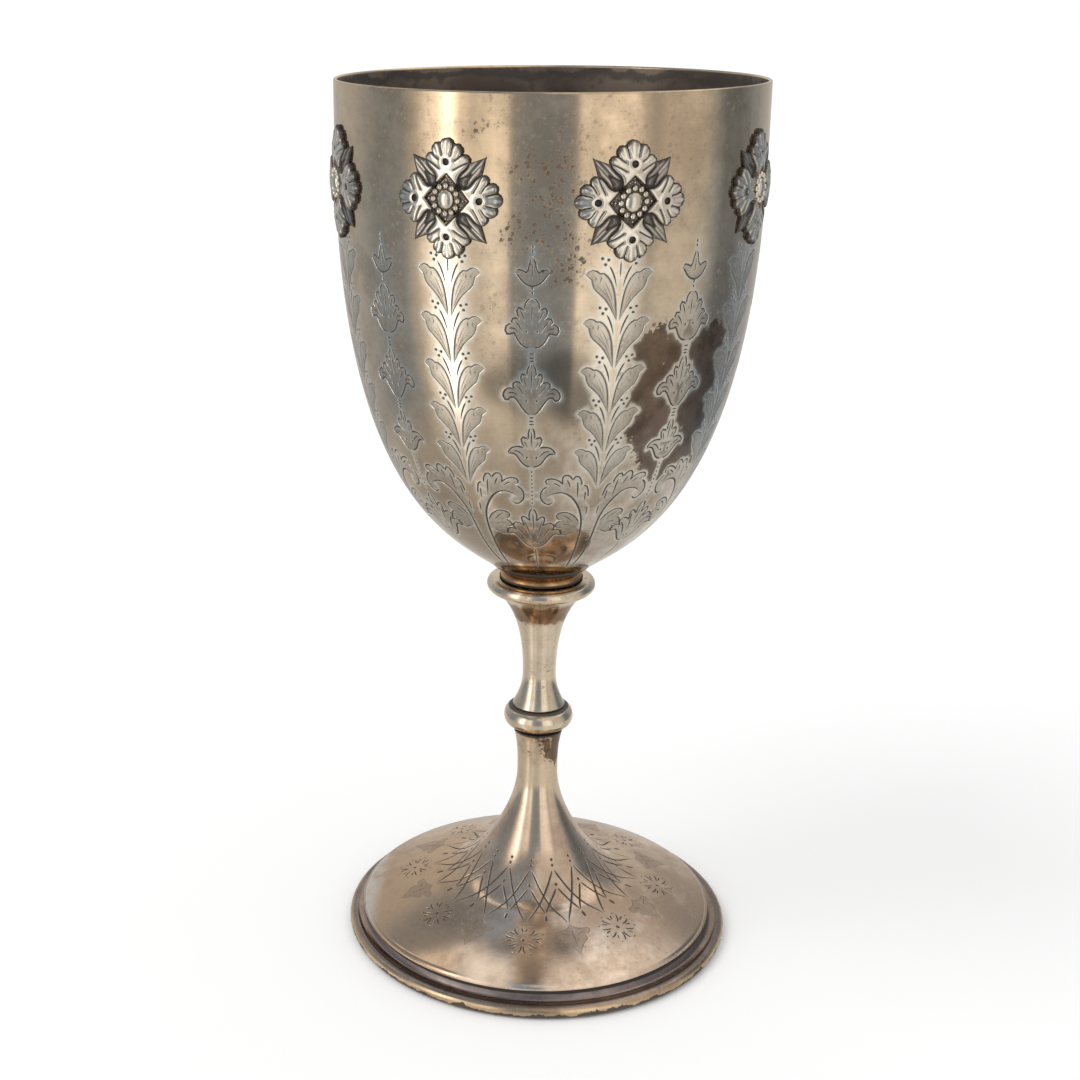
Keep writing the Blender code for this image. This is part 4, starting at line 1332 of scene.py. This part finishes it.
def make_foot(material):
    """Engraved dome and flare with the lower stem above and the hollow below."""
    shape = foot_panel.shape()
    all_round(foot_panel, shape, foot_drift)
    flare = foot_line[foot_line[:, 0] < ENGRAVED_TO][::14]
    neck = curve(neck_handles, 10)[1:]
    socket_floor = FOOT_TOP - SOCKET_DEPTH
    socket = [(SOCKET_RADIUS, FOOT_TOP), (SOCKET_RADIUS, socket_floor), (0.2, socket_floor)]
    close_shell(shape, True, np.vstack([flare, neck, socket]))
    hollow_top = DOME_SHOULDER[1] + HOLLOW_RISE
    inner = []
    for (radius, height), (slope_r, slope_z) in zip(foot_line, np.gradient(foot_line, axis=0)):
        size = math.hypot(slope_r, slope_z)
        place = (radius - FOOT_WALL * slope_z / size, height + FOOT_WALL * slope_r / size)
        if place[0] < HOLLOW_RADIUS - 1.0 and place[1] < hollow_top:
            inner.append(place)
    inner = inner[::16]
    edge = [(FOOT_RADIUS - 0.12, FOOT_SEAT), (HOLLOW_RADIUS, FOOT_SEAT), (HOLLOW_RADIUS, inner[0][1] - 0.3)]
    close_shell(shape, False, edge + inner + [(inner[-1][0], hollow_top), (0.2, hollow_top)])
    mesh = soften(plain_mesh("foot_engraved", shape), TURNED_SHARP)
    true_normals(mesh, foot_side)
    return add_piece("foot_engraved", mesh, material, "foot_silver", "foot")


def make_foot_rim(material):
    """Ring with a bead at its foot and a cavetto up to the dome's seat."""
    neck = FOOT_RADIUS - 0.5
    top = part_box("foot_rim")[1].z / MM
    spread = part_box("foot_rim")[1].x / MM - 0.5
    half_bead = 1.3
    bead_round = arc((spread - half_bead, half_bead), half_bead, 122.0, -90.0, 18)
    start = (neck, top - 0.4)
    hollow = (neck + 0.42, bead_round[0][1])
    cavetto = curve((start, hollow, hollow, bead_round[0]), 12)
    bore = neck - 1.9
    outline = [(bore, 0.15), (bore, top), (neck, top), *cavetto[:-1], *bead_round, (bore + 0.15, 0.0)]
    return turned("foot_rim_moulded", outline, 160, material, "rim_silver", "foot_rim", aside=0.3)


def make_knop(material):
    """Cushion ring on a thin fillet, with its pins."""
    fillet_top = KNOP_LOW + 0.5
    half_cushion = 2.3
    cushion = [
        (4.9 + 2.35 * math.cos(angle) ** 0.85, fillet_top + half_cushion + half_cushion * math.sin(angle))
        for angle in np.radians(np.linspace(-89.9, 89.9, 25))
    ]
    outline = [(0.0, KNOP_LOW - PIN_REACH), (PIN_RADIUS, KNOP_LOW - PIN_REACH), (PIN_RADIUS, KNOP_LOW)]
    outline += [(4.7, KNOP_LOW), (4.7, fillet_top), *cushion]
    outline += [(PIN_RADIUS, KNOP_HIGH), (PIN_RADIUS, KNOP_HIGH + PIN_REACH), (0.0, KNOP_HIGH + PIN_REACH)]
    return turned("knop_turned", outline, 96, material, "stem_silver", "knop")


def make_stem(material):
    """Waisted upper stem that flares into the round-edged flange."""
    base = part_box("stem_upper")[0].z / MM
    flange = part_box("stem_upper")[1].x / MM
    waist = 3.46
    half_edge = 1.4
    rise = base + 7.1
    flange_low = rise + 18.4
    top = flange_low + 2.0 * half_edge
    edge = (flange - half_edge, flange_low + half_edge)
    low = curve(((5.5, base), (4.18, base + 2.27), (waist, base + 4.6), (waist, rise)), 16)
    end = (edge[0] - 0.35, flange_low)
    bend = (waist + 0.34 * (end[0] - waist), rise + 15.1)
    high = curve(((waist, rise), (waist, rise + 9.0), bend, end), 26)
    rounding = arc(edge, half_edge, -90.0, 90.0, 14)
    socket_top = base + SOCKET_DEPTH
    outline = [(0.0, socket_top), (SOCKET_RADIUS, socket_top), (SOCKET_RADIUS, base)]
    outline += [*low, *high[1:], *rounding, (3.0, top), (3.0, top + 2.8), (0.0, top + 2.8)]
    return turned("stem_upper_turned", outline, 96, material, "stem_silver", "stem_upper")


def make_collar(material):
    """Waisted gilt ring under the bowl."""
    base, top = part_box("bowl_collar")[0].z / MM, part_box("bowl_collar")[1].z / MM
    side = curve(((8.6, base), (8.2, base + 0.6), (8.2, base + 1.25), (9.4, top)), 14)
    outline = [(3.3, base), *side, (3.3, top)]
    return turned("bowl_collar_turned", outline, 96, material, "collar_gilt", "bowl_collar")


# Rosette: an eighth of it, from the tip of a lobe (up) to the tip of a leaf (diagonal)
LOBE_TIP, LEAF_TIP = 11.7, 8.3
LOBE_EDGE = joined(
    ((0.0, LOBE_TIP), (0.6, 11.55), (1.1, 11.15), (1.5, 10.6)),
    ((2.1, 10.75), (2.7, 10.6), (3.2, 10.0), (3.35, 9.4), (3.35, 8.85)),
    ((3.95, 8.75), (4.55, 8.35), (4.85, 7.8), (4.8, 7.2)),
)
LEAF_EDGE = ((4.8, 7.2), (5.5, 7.4), (6.4, 7.65), (7.4, 7.95), (LEAF_TIP, LEAF_TIP))
LOBE_FLANK = ((4.8, 7.2), (4.35, 6.4), (3.75, 5.75), (3.1, 5.2), (2.6, 4.6), (2.35, 3.9), (2.5, 3.2))
LOBE_VEINS = (
    ((1.5, 10.6), (1.2, 9.6), (0.95, 8.4)),
    ((3.35, 8.85), (2.6, 8.1), (1.7, 7.5)),
    ((4.6, 7.3), (3.6, 6.9), (2.6, 6.4), (1.6, 5.8)),
)
LOBE_CUPS = ((0.0, 10.3), (2.3, 9.6), (3.9, 7.95))
DOT_PLACE, DOT_RADIUS = (0.0, 7.2), 0.72
BULB_PLACE, BULB_RADIUS = (3.55, 3.55), 1.05
FRAME_TIP, FRAME_BULGE, FRAME_BAND = 4.65, 0.08, 0.3
LOBE_HEIGHT, LEAF_HEIGHT, EDGE_HEIGHT, GROUND_HEIGHT, FRAME_HEIGHT = 1.05, 0.62, 0.42, 0.7, 1.15
PEARL_RING, PEARL_RADIUS, PEARLS = 2.68, 0.62, 12
CORNER_RING, CORNER_RADIUS = 3.78, 0.26
CABOCHON = (1.8, 1.95, 1.65)
ROSETTE_LEVEL = BOWL_LIP - 18.1
ROSETTE_SPREAD = (0.86, 0.885)
ROSETTE_SHARP = 50.0
# Height of the thin back, and the black painted as shadow down the side wall
BACK_HEIGHT, PAINTED_UNDER_SHADE = 0.05, 1.2


def frame_reach(angle):
    """Reach of the lozenge, whose sides bulge round the pearls, from the rosette's middle."""
    return FRAME_TIP / (np.sin(angle) + np.cos(angle)) + FRAME_BULGE * np.sin(2.0 * angle) ** 2


def held(value):
    """Value kept between nothing and one."""
    return np.clip(value, 0.0, 1.0)


def ridge(gap, width):
    """Soft ridge, highest where the gap is nothing."""
    return np.exp(-((gap / width) ** 2))


def lobe_relief(places, lobe, reach, dot):
    """Height and darkness of a lobe: round at its edge, fluted, cupped, veined, and raised round its eye."""
    across, above = places.T
    gap = gap_to(places, lobe[:-2])
    slope = held((reach - 6.5) / 5.0)
    height = EDGE_HEIGHT + (LOBE_HEIGHT - 0.22 * slope - EDGE_HEIGHT) * (1.0 - np.exp(-gap / 0.24))
    outward = held((reach - 7.6) / 2.0)
    # Black along the lobe's edge, partly grime and partly painted shadow, and painted shade growing towards
    # its outer end
    dark = 1.15 * ridge(gap, 0.24) + 0.42 * outward * np.exp(-gap / 0.8)
    flutes = np.cos(38.0 * np.arctan2(across, above - 3.6))
    height += 0.035 * flutes * held(gap / 0.5) * outward
    # Painted shade in the hollows of the flutes
    dark += 0.4 * held(-flutes) * held(gap / 0.5) * outward
    for cup in LOBE_CUPS:
        height -= 0.07 * ridge(np.hypot(across - cup[0], above - cup[1]), 0.75)
    for vein in LOBE_VEINS:
        fall = gap_to(places, smooth(vein, 0.3))
        height -= 0.26 * held(1.0 - fall / 0.28)
        dark = np.maximum(dark, 0.8 * ridge(fall, 0.2))
    height += 0.1 * ridge(dot - 1.25, 0.45)
    return height, dark


def leaf_relief(places, leaf, diagonal):
    """Height and darkness of a leaf: low, with a sunk middle vein and dark veins beside it."""
    gap = gap_to(places, leaf[:-1])
    height = EDGE_HEIGHT + (LEAF_HEIGHT - EDGE_HEIGHT) * (1.0 - np.exp(-gap / 0.25))
    height -= 0.26 * ridge(diagonal, 0.4)
    return height, 0.56 + 0.5 * ridge(gap, 0.3) - 0.18 * np.cos(8.0 * diagonal)


def rosette_relief(places, lobe, leaf):
    """Height and darkness of the struck relief at places in the first eighth."""
    across, above = places.T
    reach = np.hypot(across, above)
    dot = np.hypot(across - DOT_PLACE[0], above - DOT_PLACE[1])
    diagonal = np.abs(across - above) / math.sqrt(2.0)
    on_lobe = inside(places, lobe)
    lobe_height, lobe_dark = lobe_relief(places, lobe, reach, dot)
    leaf_height, leaf_dark = leaf_relief(places, leaf, diagonal)
    height = np.where(on_lobe, lobe_height, leaf_height)
    dark = np.where(on_lobe, lobe_dark, leaf_dark)
    along = (across + above - sum(BULB_PLACE)) / math.sqrt(2.0)
    narrow = 1.0 + 0.55 * np.clip(along, 0.0, 3.0)
    bulb = np.hypot(diagonal * narrow, along / np.where(along > 0.0, 2.2, 1.0))
    height += 0.1 * ridge(bulb - 1.35, 0.3) * on_lobe
    fall = held((BULB_RADIUS - bulb) / 0.3)
    height = height * (1.0 - fall) + (0.24 + 0.34 * held(1.0 - bulb)) * fall
    dark = np.where(bulb < BULB_RADIUS, 0.78 + 0.4 * held((bulb - 0.5) / 0.3), dark)
    dark = np.maximum(dark, 1.15 * ridge(bulb - BULB_RADIUS, 0.14))
    height -= 0.62 * held((DOT_RADIUS - dot) / 0.22)
    dark = np.maximum(dark, held((DOT_RADIUS + 0.08 - dot) / 0.2))
    edge = reach - frame_reach(np.arctan2(across, above))
    moat = ridge(edge - 0.22, 0.2)
    height -= 0.4 * moat
    dark = np.maximum(dark, moat)
    band = held(1.0 - np.abs(edge + 0.5 * FRAME_BAND) / (0.5 * FRAME_BAND))
    within = edge < 0.0
    height = np.where(within, GROUND_HEIGHT + (FRAME_HEIGHT - GROUND_HEIGHT) * np.sqrt(band), height)
    dark = np.where(within, np.where(edge < -FRAME_BAND, 0.92, 0.6), dark)
    return height, dark


def rosette_eighth(step, relief):
    """Mesh of an eighth: across, above and height in millimetres."""
    edge = [smooth(line, 0.3) for line in LOBE_EDGE] + [smooth(LEAF_EDGE, 0.35)]
    outline = np.vstack([edge[0]] + [line[1:] for line in edge[1:]])
    flank = smooth(LOBE_FLANK, 0.3)
    lobe = np.vstack([edge[0], edge[1][1:], edge[2][1:], flank[1:], [(0.0, 2.0)], [(0.0, LOBE_TIP)]])
    leaf = np.vstack([flank[::-1], edge[3][1:], [(2.4, 2.4)]])
    border = np.vstack([[(0.0, 0.0)], outline])
    coords, links = [], []

    def chain(points):
        first = len(coords)
        coords.extend((float(point[0]), float(point[1])) for point in points)
        links.extend((index, index + 1) for index in range(first, len(coords) - 1))

    chain(outline)
    chain([(0.0, LOBE_TIP * i / 20.0) for i in range(21)])
    chain([(LEAF_TIP * i / 18.0, LEAF_TIP * i / 18.0) for i in range(19)])
    if relief:
        chain(flank)
        for vein in LOBE_VEINS:
            chain(smooth(vein, 0.3))
        for shift in (0.0, -FRAME_BAND, -0.5 * FRAME_BAND, 0.25):
            turns = np.linspace(0.0, math.pi / 4.0, 16)
            reach = frame_reach(turns) + shift
            chain(np.column_stack([reach * np.sin(turns), reach * np.cos(turns)]))
        for centre, radius in ((DOT_PLACE, DOT_RADIUS), (BULB_PLACE, BULB_RADIUS)):
            for share in (1.0, 0.72):
                ring = [
                    (centre[0] + share * radius * math.sin(turn), centre[1] + share * radius * math.cos(turn))
                    for turn in np.linspace(0.0, math.tau, 16, endpoint=False)
                ]
                chain([place for place in ring if place[0] > -1e-9 and place[1] >= place[0] - 1e-9])
    rows = int(12.0 / step)
    for row in range(1, rows):
        for column in range(rows):
            place = (step * (column + 0.5 * (row % 2)) + 0.02, 0.9 * step * row)
            if place[1] <= place[0] + 0.3 * step:
                continue
            spot = np.array([place])
            if inside(spot, border)[0] and gap_to(spot, outline)[0] > 0.3 * step:
                coords.append(place)
    found = delaunay_2d_cdt([Vector(place) for place in coords], links, [], 0, 1e-5)
    places = np.array([tuple(place) for place in found[0]])
    shape = bmesh.new()
    dark_layer = shape.verts.layers.float.new("dark")
    verts = [shape.verts.new((place[0], place[1], 0.0)) for place in places]
    centres = np.array([places[list(face)].mean(0) for face in found[2]])
    kept = inside(centres, border)
    for face, keep in zip(found[2], kept):
        if keep and len(set(face)) == 3:
            shape.faces.new([verts[index] for index in face])
    loose = [vert for vert in shape.verts if not vert.link_faces]
    bmesh.ops.delete(shape, geom=loose, context="VERTS")
    bmesh.ops.remove_doubles(shape, verts=shape.verts, dist=CROWDED)
    lay_on_seam(shape, Vector((1.0, 0.0, 0.0)), 0.0)
    lay_on_seam(shape, Vector((1.0, -1.0, 0.0)).normalized(), 0.0)
    bmesh.ops.remove_doubles(shape, verts=shape.verts, dist=CROWDED)
    places = np.array([tuple(vert.co)[:2] for vert in shape.verts])
    height, dark = rosette_relief(places, lobe, leaf)
    # Black along the outline: painted shadow of the undercut edge
    dark = np.where(gap_to(places, outline) < 0.03, 1.0, dark)
    if not relief:
        height, dark = np.full(len(places), 0.05), np.ones(len(places))
    for vert, level, shade in zip(shape.verts, height, dark):
        vert.co.z = level
        vert[dark_layer] = float(min(shade, 1.2))
    return shape


def whole_rosette(step, relief):
    """Mirror the eighth and turn the quarter round."""
    shape = rosette_eighth(step, relief)

    def move(verts, index):
        turn = Matrix.Rotation(index * math.pi / 2.0, 3, "Z")
        bmesh.ops.rotate(shape, verts=verts, cent=(0, 0, 0), matrix=turn)

    mirror_and_repeat(shape, 4, move)
    bmesh.ops.remove_doubles(shape, verts=shape.verts, dist=1e-3)
    return shape


def rosette_block():
    """One rosette lying flat: struck relief, thin back, pearls and cabochon, in millimetres."""
    shape = whole_rosette(0.24, True)
    rim = [edge for edge in shape.edges if edge.is_boundary]
    grown = bmesh.ops.extrude_edge_only(shape, edges=rim)["geom"]
    dark_layer = shape.verts.layers.float["dark"]
    # The side wall down to the back is black: painted shadow under the edge
    for item in grown:
        if isinstance(item, bmesh.types.BMVert):
            item.co.z = BACK_HEIGHT
            item[dark_layer] = PAINTED_UNDER_SHADE
    back = whole_rosette(1.6, False)
    bmesh.ops.reverse_faces(back, faces=back.faces)
    plate = plain_mesh("rosette_back", back)
    shape.from_mesh(plate)
    bpy.data.meshes.remove(plate)
    bmesh.ops.remove_doubles(shape, verts=shape.verts, dist=1e-3)
    bmesh.ops.recalc_face_normals(shape, faces=shape.faces)
    dark_layer = shape.verts.layers.float["dark"]
    beads = [(PEARL_RING, math.tau * index / PEARLS, PEARL_RADIUS) for index in range(PEARLS)]
    beads += [(CORNER_RING, math.tau * index / 4.0, CORNER_RADIUS) for index in range(4)]
    for reach, turn, radius in beads:
        lift = GROUND_HEIGHT + 0.2 * radius
        place = Matrix.Translation((reach * math.sin(turn), reach * math.cos(turn), lift))
        made = bmesh.ops.create_uvsphere(shape, u_segments=12, v_segments=8, radius=radius, matrix=place)
        for vert in made["verts"]:
            vert[dark_layer] = 0.85 * max(0.0, 1.0 - (vert.co.z - GROUND_HEIGHT) / radius) ** 2
    size = Matrix.Diagonal((CABOCHON[0], CABOCHON[1], CABOCHON[2] - GROUND_HEIGHT, 1.0))
    place = Matrix.Translation((0.0, 0.0, GROUND_HEIGHT)) @ size
    made = bmesh.ops.create_uvsphere(shape, u_segments=28, v_segments=18, radius=1.0, matrix=place)
    for vert in made["verts"]:
        vert[dark_layer] = 0.8 * max(0.0, 1.0 - (vert.co.z - GROUND_HEIGHT) / 0.4) ** 2
    return shape


def make_rosettes(material):
    """Eight rosettes soldered round the bowl, each a little different under the hammer."""
    flat = plain_mesh("rosette_flat", rosette_block())
    places = read_values(flat.vertices, "co", 3)
    for index in range(SECTORS):
        name = f"rosette_{index + 1}"
        phase = 1.7 * index
        across = ROSETTE_SPREAD[0] * (places[:, 0] + 0.12 * np.sin(0.45 * places[:, 1] + phase))
        above = ROSETTE_SPREAD[1] * (places[:, 1] + 0.12 * np.sin(0.5 * places[:, 0] + 1.3 * phase))
        height = places[:, 2]
        level = ROSETTE_LEVEL + above
        radius = bowl_side.at(bowl_side.reach_of_height(level))[0] + height
        turn = HALF_SECTOR + math.tau * index / SECTORS + across / BOWL_RADIUS
        laid = np.column_stack([radius * np.sin(turn), -radius * np.cos(turn), level]) * MM
        mesh = flat.copy()
        mesh.name = f"{name}_struck"
        mesh.vertices.foreach_set("co", laid.ravel())
        mesh.update()
        add_piece(mesh.name, soften(mesh, ROSETTE_SHARP), material, "rosette_silver", name)
    bpy.data.meshes.remove(flat)


stem_silver = stem_finish()
make_bowl(bowl_finish())
make_collar(collar_finish())
make_stem(stem_silver)
make_knop(stem_silver)
make_foot(foot_finish())
make_foot_rim(rim_finish())
make_rosettes(rosette_finish())

# Studio: bands of brightness round the goblet, by degrees from the camera towards the right
STUDIO_BANDS = (
    (-180, 0.62), (-150, 0.48), (-125, 0.42), (-100, 0.28), (-81, 0.30), (-72, 0.5), (-63, 1.2), (-58, 1.3),
    (-54.5, 2.5), (-50, 2.1), (-46, 0.95), (-38, 0.68), (-27, 0.95), (-21, 0.8), (-18.5, 0.36), (-8, 0.30),
    (5, 0.29), (13.5, 0.36), (16, 0.95), (22, 0.85), (32, 1.0), (42, 0.92), (48, 0.64), (53, 0.46), (60, 0.6),
    (74, 0.55), (86, 0.50), (100, 0.20), (111, 0.18), (125, 0.27), (147, 0.42), (180, 0.62),
)
STUDIO_PEAK = 2.6
SURROUND_OUTLINE = (
    (0.0, -0.001), (0.9, -0.001), (0.95, 0.1), (0.95, 0.8), (0.7, 1.15), (0.3, 1.3), (0.0, 1.32),
)
COOL_LIGHT, WARM_LIGHT = colour(0.86, 1.0, 1.18), colour(1.03, 1.0, 0.95)
FLOOR_TONE = even(0.965)


def add_to_studio(mesh, material):
    """Object for a part of the studio."""
    mesh.materials.append(material)
    thing = bpy.data.objects.new(mesh.name, mesh)
    bpy.context.scene.collection.objects.link(thing)
    return thing


def surround_level(tree, make):
    """Brightness of the surround as a share of its peak: bands all round, a table below, a ceiling above."""
    place = tree.nodes.new("ShaderNodeTexCoord").outputs["Object"]
    across, depth, height = make.levels(place)
    angle = make.math("ARCTAN2", across, make.part(depth, -1.0))
    share = make.math("MULTIPLY_ADD", angle, 1.0 / math.tau, 0.5 - CAMERA_AZIMUTH / math.tau)
    bands = tree.nodes.new("ShaderNodeValToRGB")
    stops = bands.color_ramp.elements
    for index, (degrees, level) in enumerate(STUDIO_BANDS):
        position = (degrees + 180.0) / 360.0
        stop = stops[index] if index < 2 else stops.new(position)
        stop.position = position
        stop.color = even(level / STUDIO_PEAK)
    make.feed(bands.inputs[0], share)
    under = make.part(make.between(make.reach(across, depth), 0.26, 0.15), 0.82)
    under = make.part(under, make.between(height, 0.2, 0.05))
    right = make.between(across, -0.08, 0.12)
    table = make.slide(make.between(depth, 0.04, 0.15), make.slide(right, 0.56, 0.64), 0.75)
    level = make.slide(under, bands.outputs[0], make.part(table, 1.0 / STUDIO_PEAK))
    left_panel = make.part(make.between(depth, 0.46, 0.40), make.between(depth, 0.22, 0.32))
    right_panel = make.part(make.between(depth, 0.66, 0.52), make.between(depth, 0.0, 0.25))
    ceiling = make.slide(
        right, make.slide(left_panel, 0.30 / STUDIO_PEAK, 1.0 / STUDIO_PEAK),
        make.slide(right_panel, 0.62 / STUDIO_PEAK, 1.0 / STUDIO_PEAK),
    )
    return make.slide(make.between(height, 0.6, 0.9), level, ceiling)


def studio_surround():
    """Soft panels all round, which light the silver's reflections and stay out of the picture."""
    shape = bmesh.new()
    verts = [shape.verts.new((radius, 0.0, height)) for radius, height in SURROUND_OUTLINE]
    edges = [shape.edges.new(pair) for pair in zip(verts, verts[1:])]
    spin_round(shape, verts, edges, 72)
    material = bpy.data.materials.new("studio_surround")
    material.use_nodes = True
    tree = material.node_tree
    tree.nodes.clear()
    make = Graph(tree)
    level = surround_level(tree, make)
    warm = make.between(level, 0.24 / STUDIO_PEAK, 0.56 / STUDIO_PEAK)
    tint = make.blend(warm, COOL_LIGHT, WARM_LIGHT)
    light = tree.nodes.new("ShaderNodeEmission")
    light.inputs["Strength"].default_value = STUDIO_PEAK
    make.feed(light.inputs["Color"], make.blend(1.0, tint, level, "MULTIPLY"))
    output = tree.nodes.new("ShaderNodeOutputMaterial")
    tree.links.new(light.outputs[0], output.inputs["Surface"])
    surround = add_to_studio(plain_mesh("studio_surround", shape), material)
    surround.visible_camera = False
    surround.visible_diffuse = False
    surround.visible_shadow = False


def studio_floor():
    """Plain pale floor."""
    shape = bmesh.new()
    bmesh.ops.create_grid(shape, x_segments=1, y_segments=1, size=6.0)
    material = bpy.data.materials.new("studio_floor")
    material.use_nodes = True
    shader = material.node_tree.nodes["Principled BSDF"]
    shader.inputs["Base Color"].default_value = FLOOR_TONE
    shader.inputs["Roughness"].default_value = 0.9
    shader.inputs["Specular IOR Level"].default_value = 0.0
    floor = add_to_studio(plain_mesh("studio_floor", shape), material)
    floor.visible_glossy = False


def studio_world():
    """White beyond the floor for the camera and for reflections, and soft light on the floor."""
    world = bpy.data.worlds.new("studio")
    bpy.context.scene.world = world
    world.use_nodes = True
    tree = world.node_tree
    make = Graph(tree)
    back = tree.nodes["Background"]
    path = tree.nodes.new("ShaderNodeLightPath")
    seen = make.highest([path.outputs[f"Is {kind} Ray"] for kind in ("Camera", "Glossy", "Transmission")])
    back.inputs["Color"].default_value = even(1.0)
    make.feed(back.inputs["Strength"], make.math("MULTIPLY_ADD", seen, 0.1, 0.9))


def studio_key(place, softness, power):
    """Broad even light from one side, which leaves a soft shadow on the other."""
    light = bpy.data.lights.new("studio_key", "SUN")
    light.angle = math.radians(softness)
    light.energy = power
    lamp = bpy.data.objects.new("studio_key", light)
    bpy.context.scene.collection.objects.link(lamp)
    lamp.location = place
    aim = Vector((0.0, 0.0, 0.08)) - Vector(place)
    lamp.rotation_euler = aim.to_track_quat("-Z", "Y").to_euler()
    lamp.visible_glossy = False


def studio_camera():
    """Camera at the photograph's place."""
    data = bpy.data.cameras.new("camera")
    data.lens = CAMERA_LENS
    data.sensor_width = 36.0
    data.shift_x = CAMERA_SHIFT
    data.clip_start = 0.01
    camera = bpy.data.objects.new("camera", data)
    camera.location = CAMERA_PLACE
    camera.rotation_euler = (math.pi / 2.0 - CAMERA_DOWN, 0.0, CAMERA_TURN)
    bpy.context.scene.collection.objects.link(camera)
    bpy.context.scene.camera = camera


studio_surround()
studio_floor()
studio_world()
studio_key((-0.55, -0.25, 0.75), 38.0, 0.80)
studio_camera()
bpy.context.scene.view_settings.view_transform = "Standard"
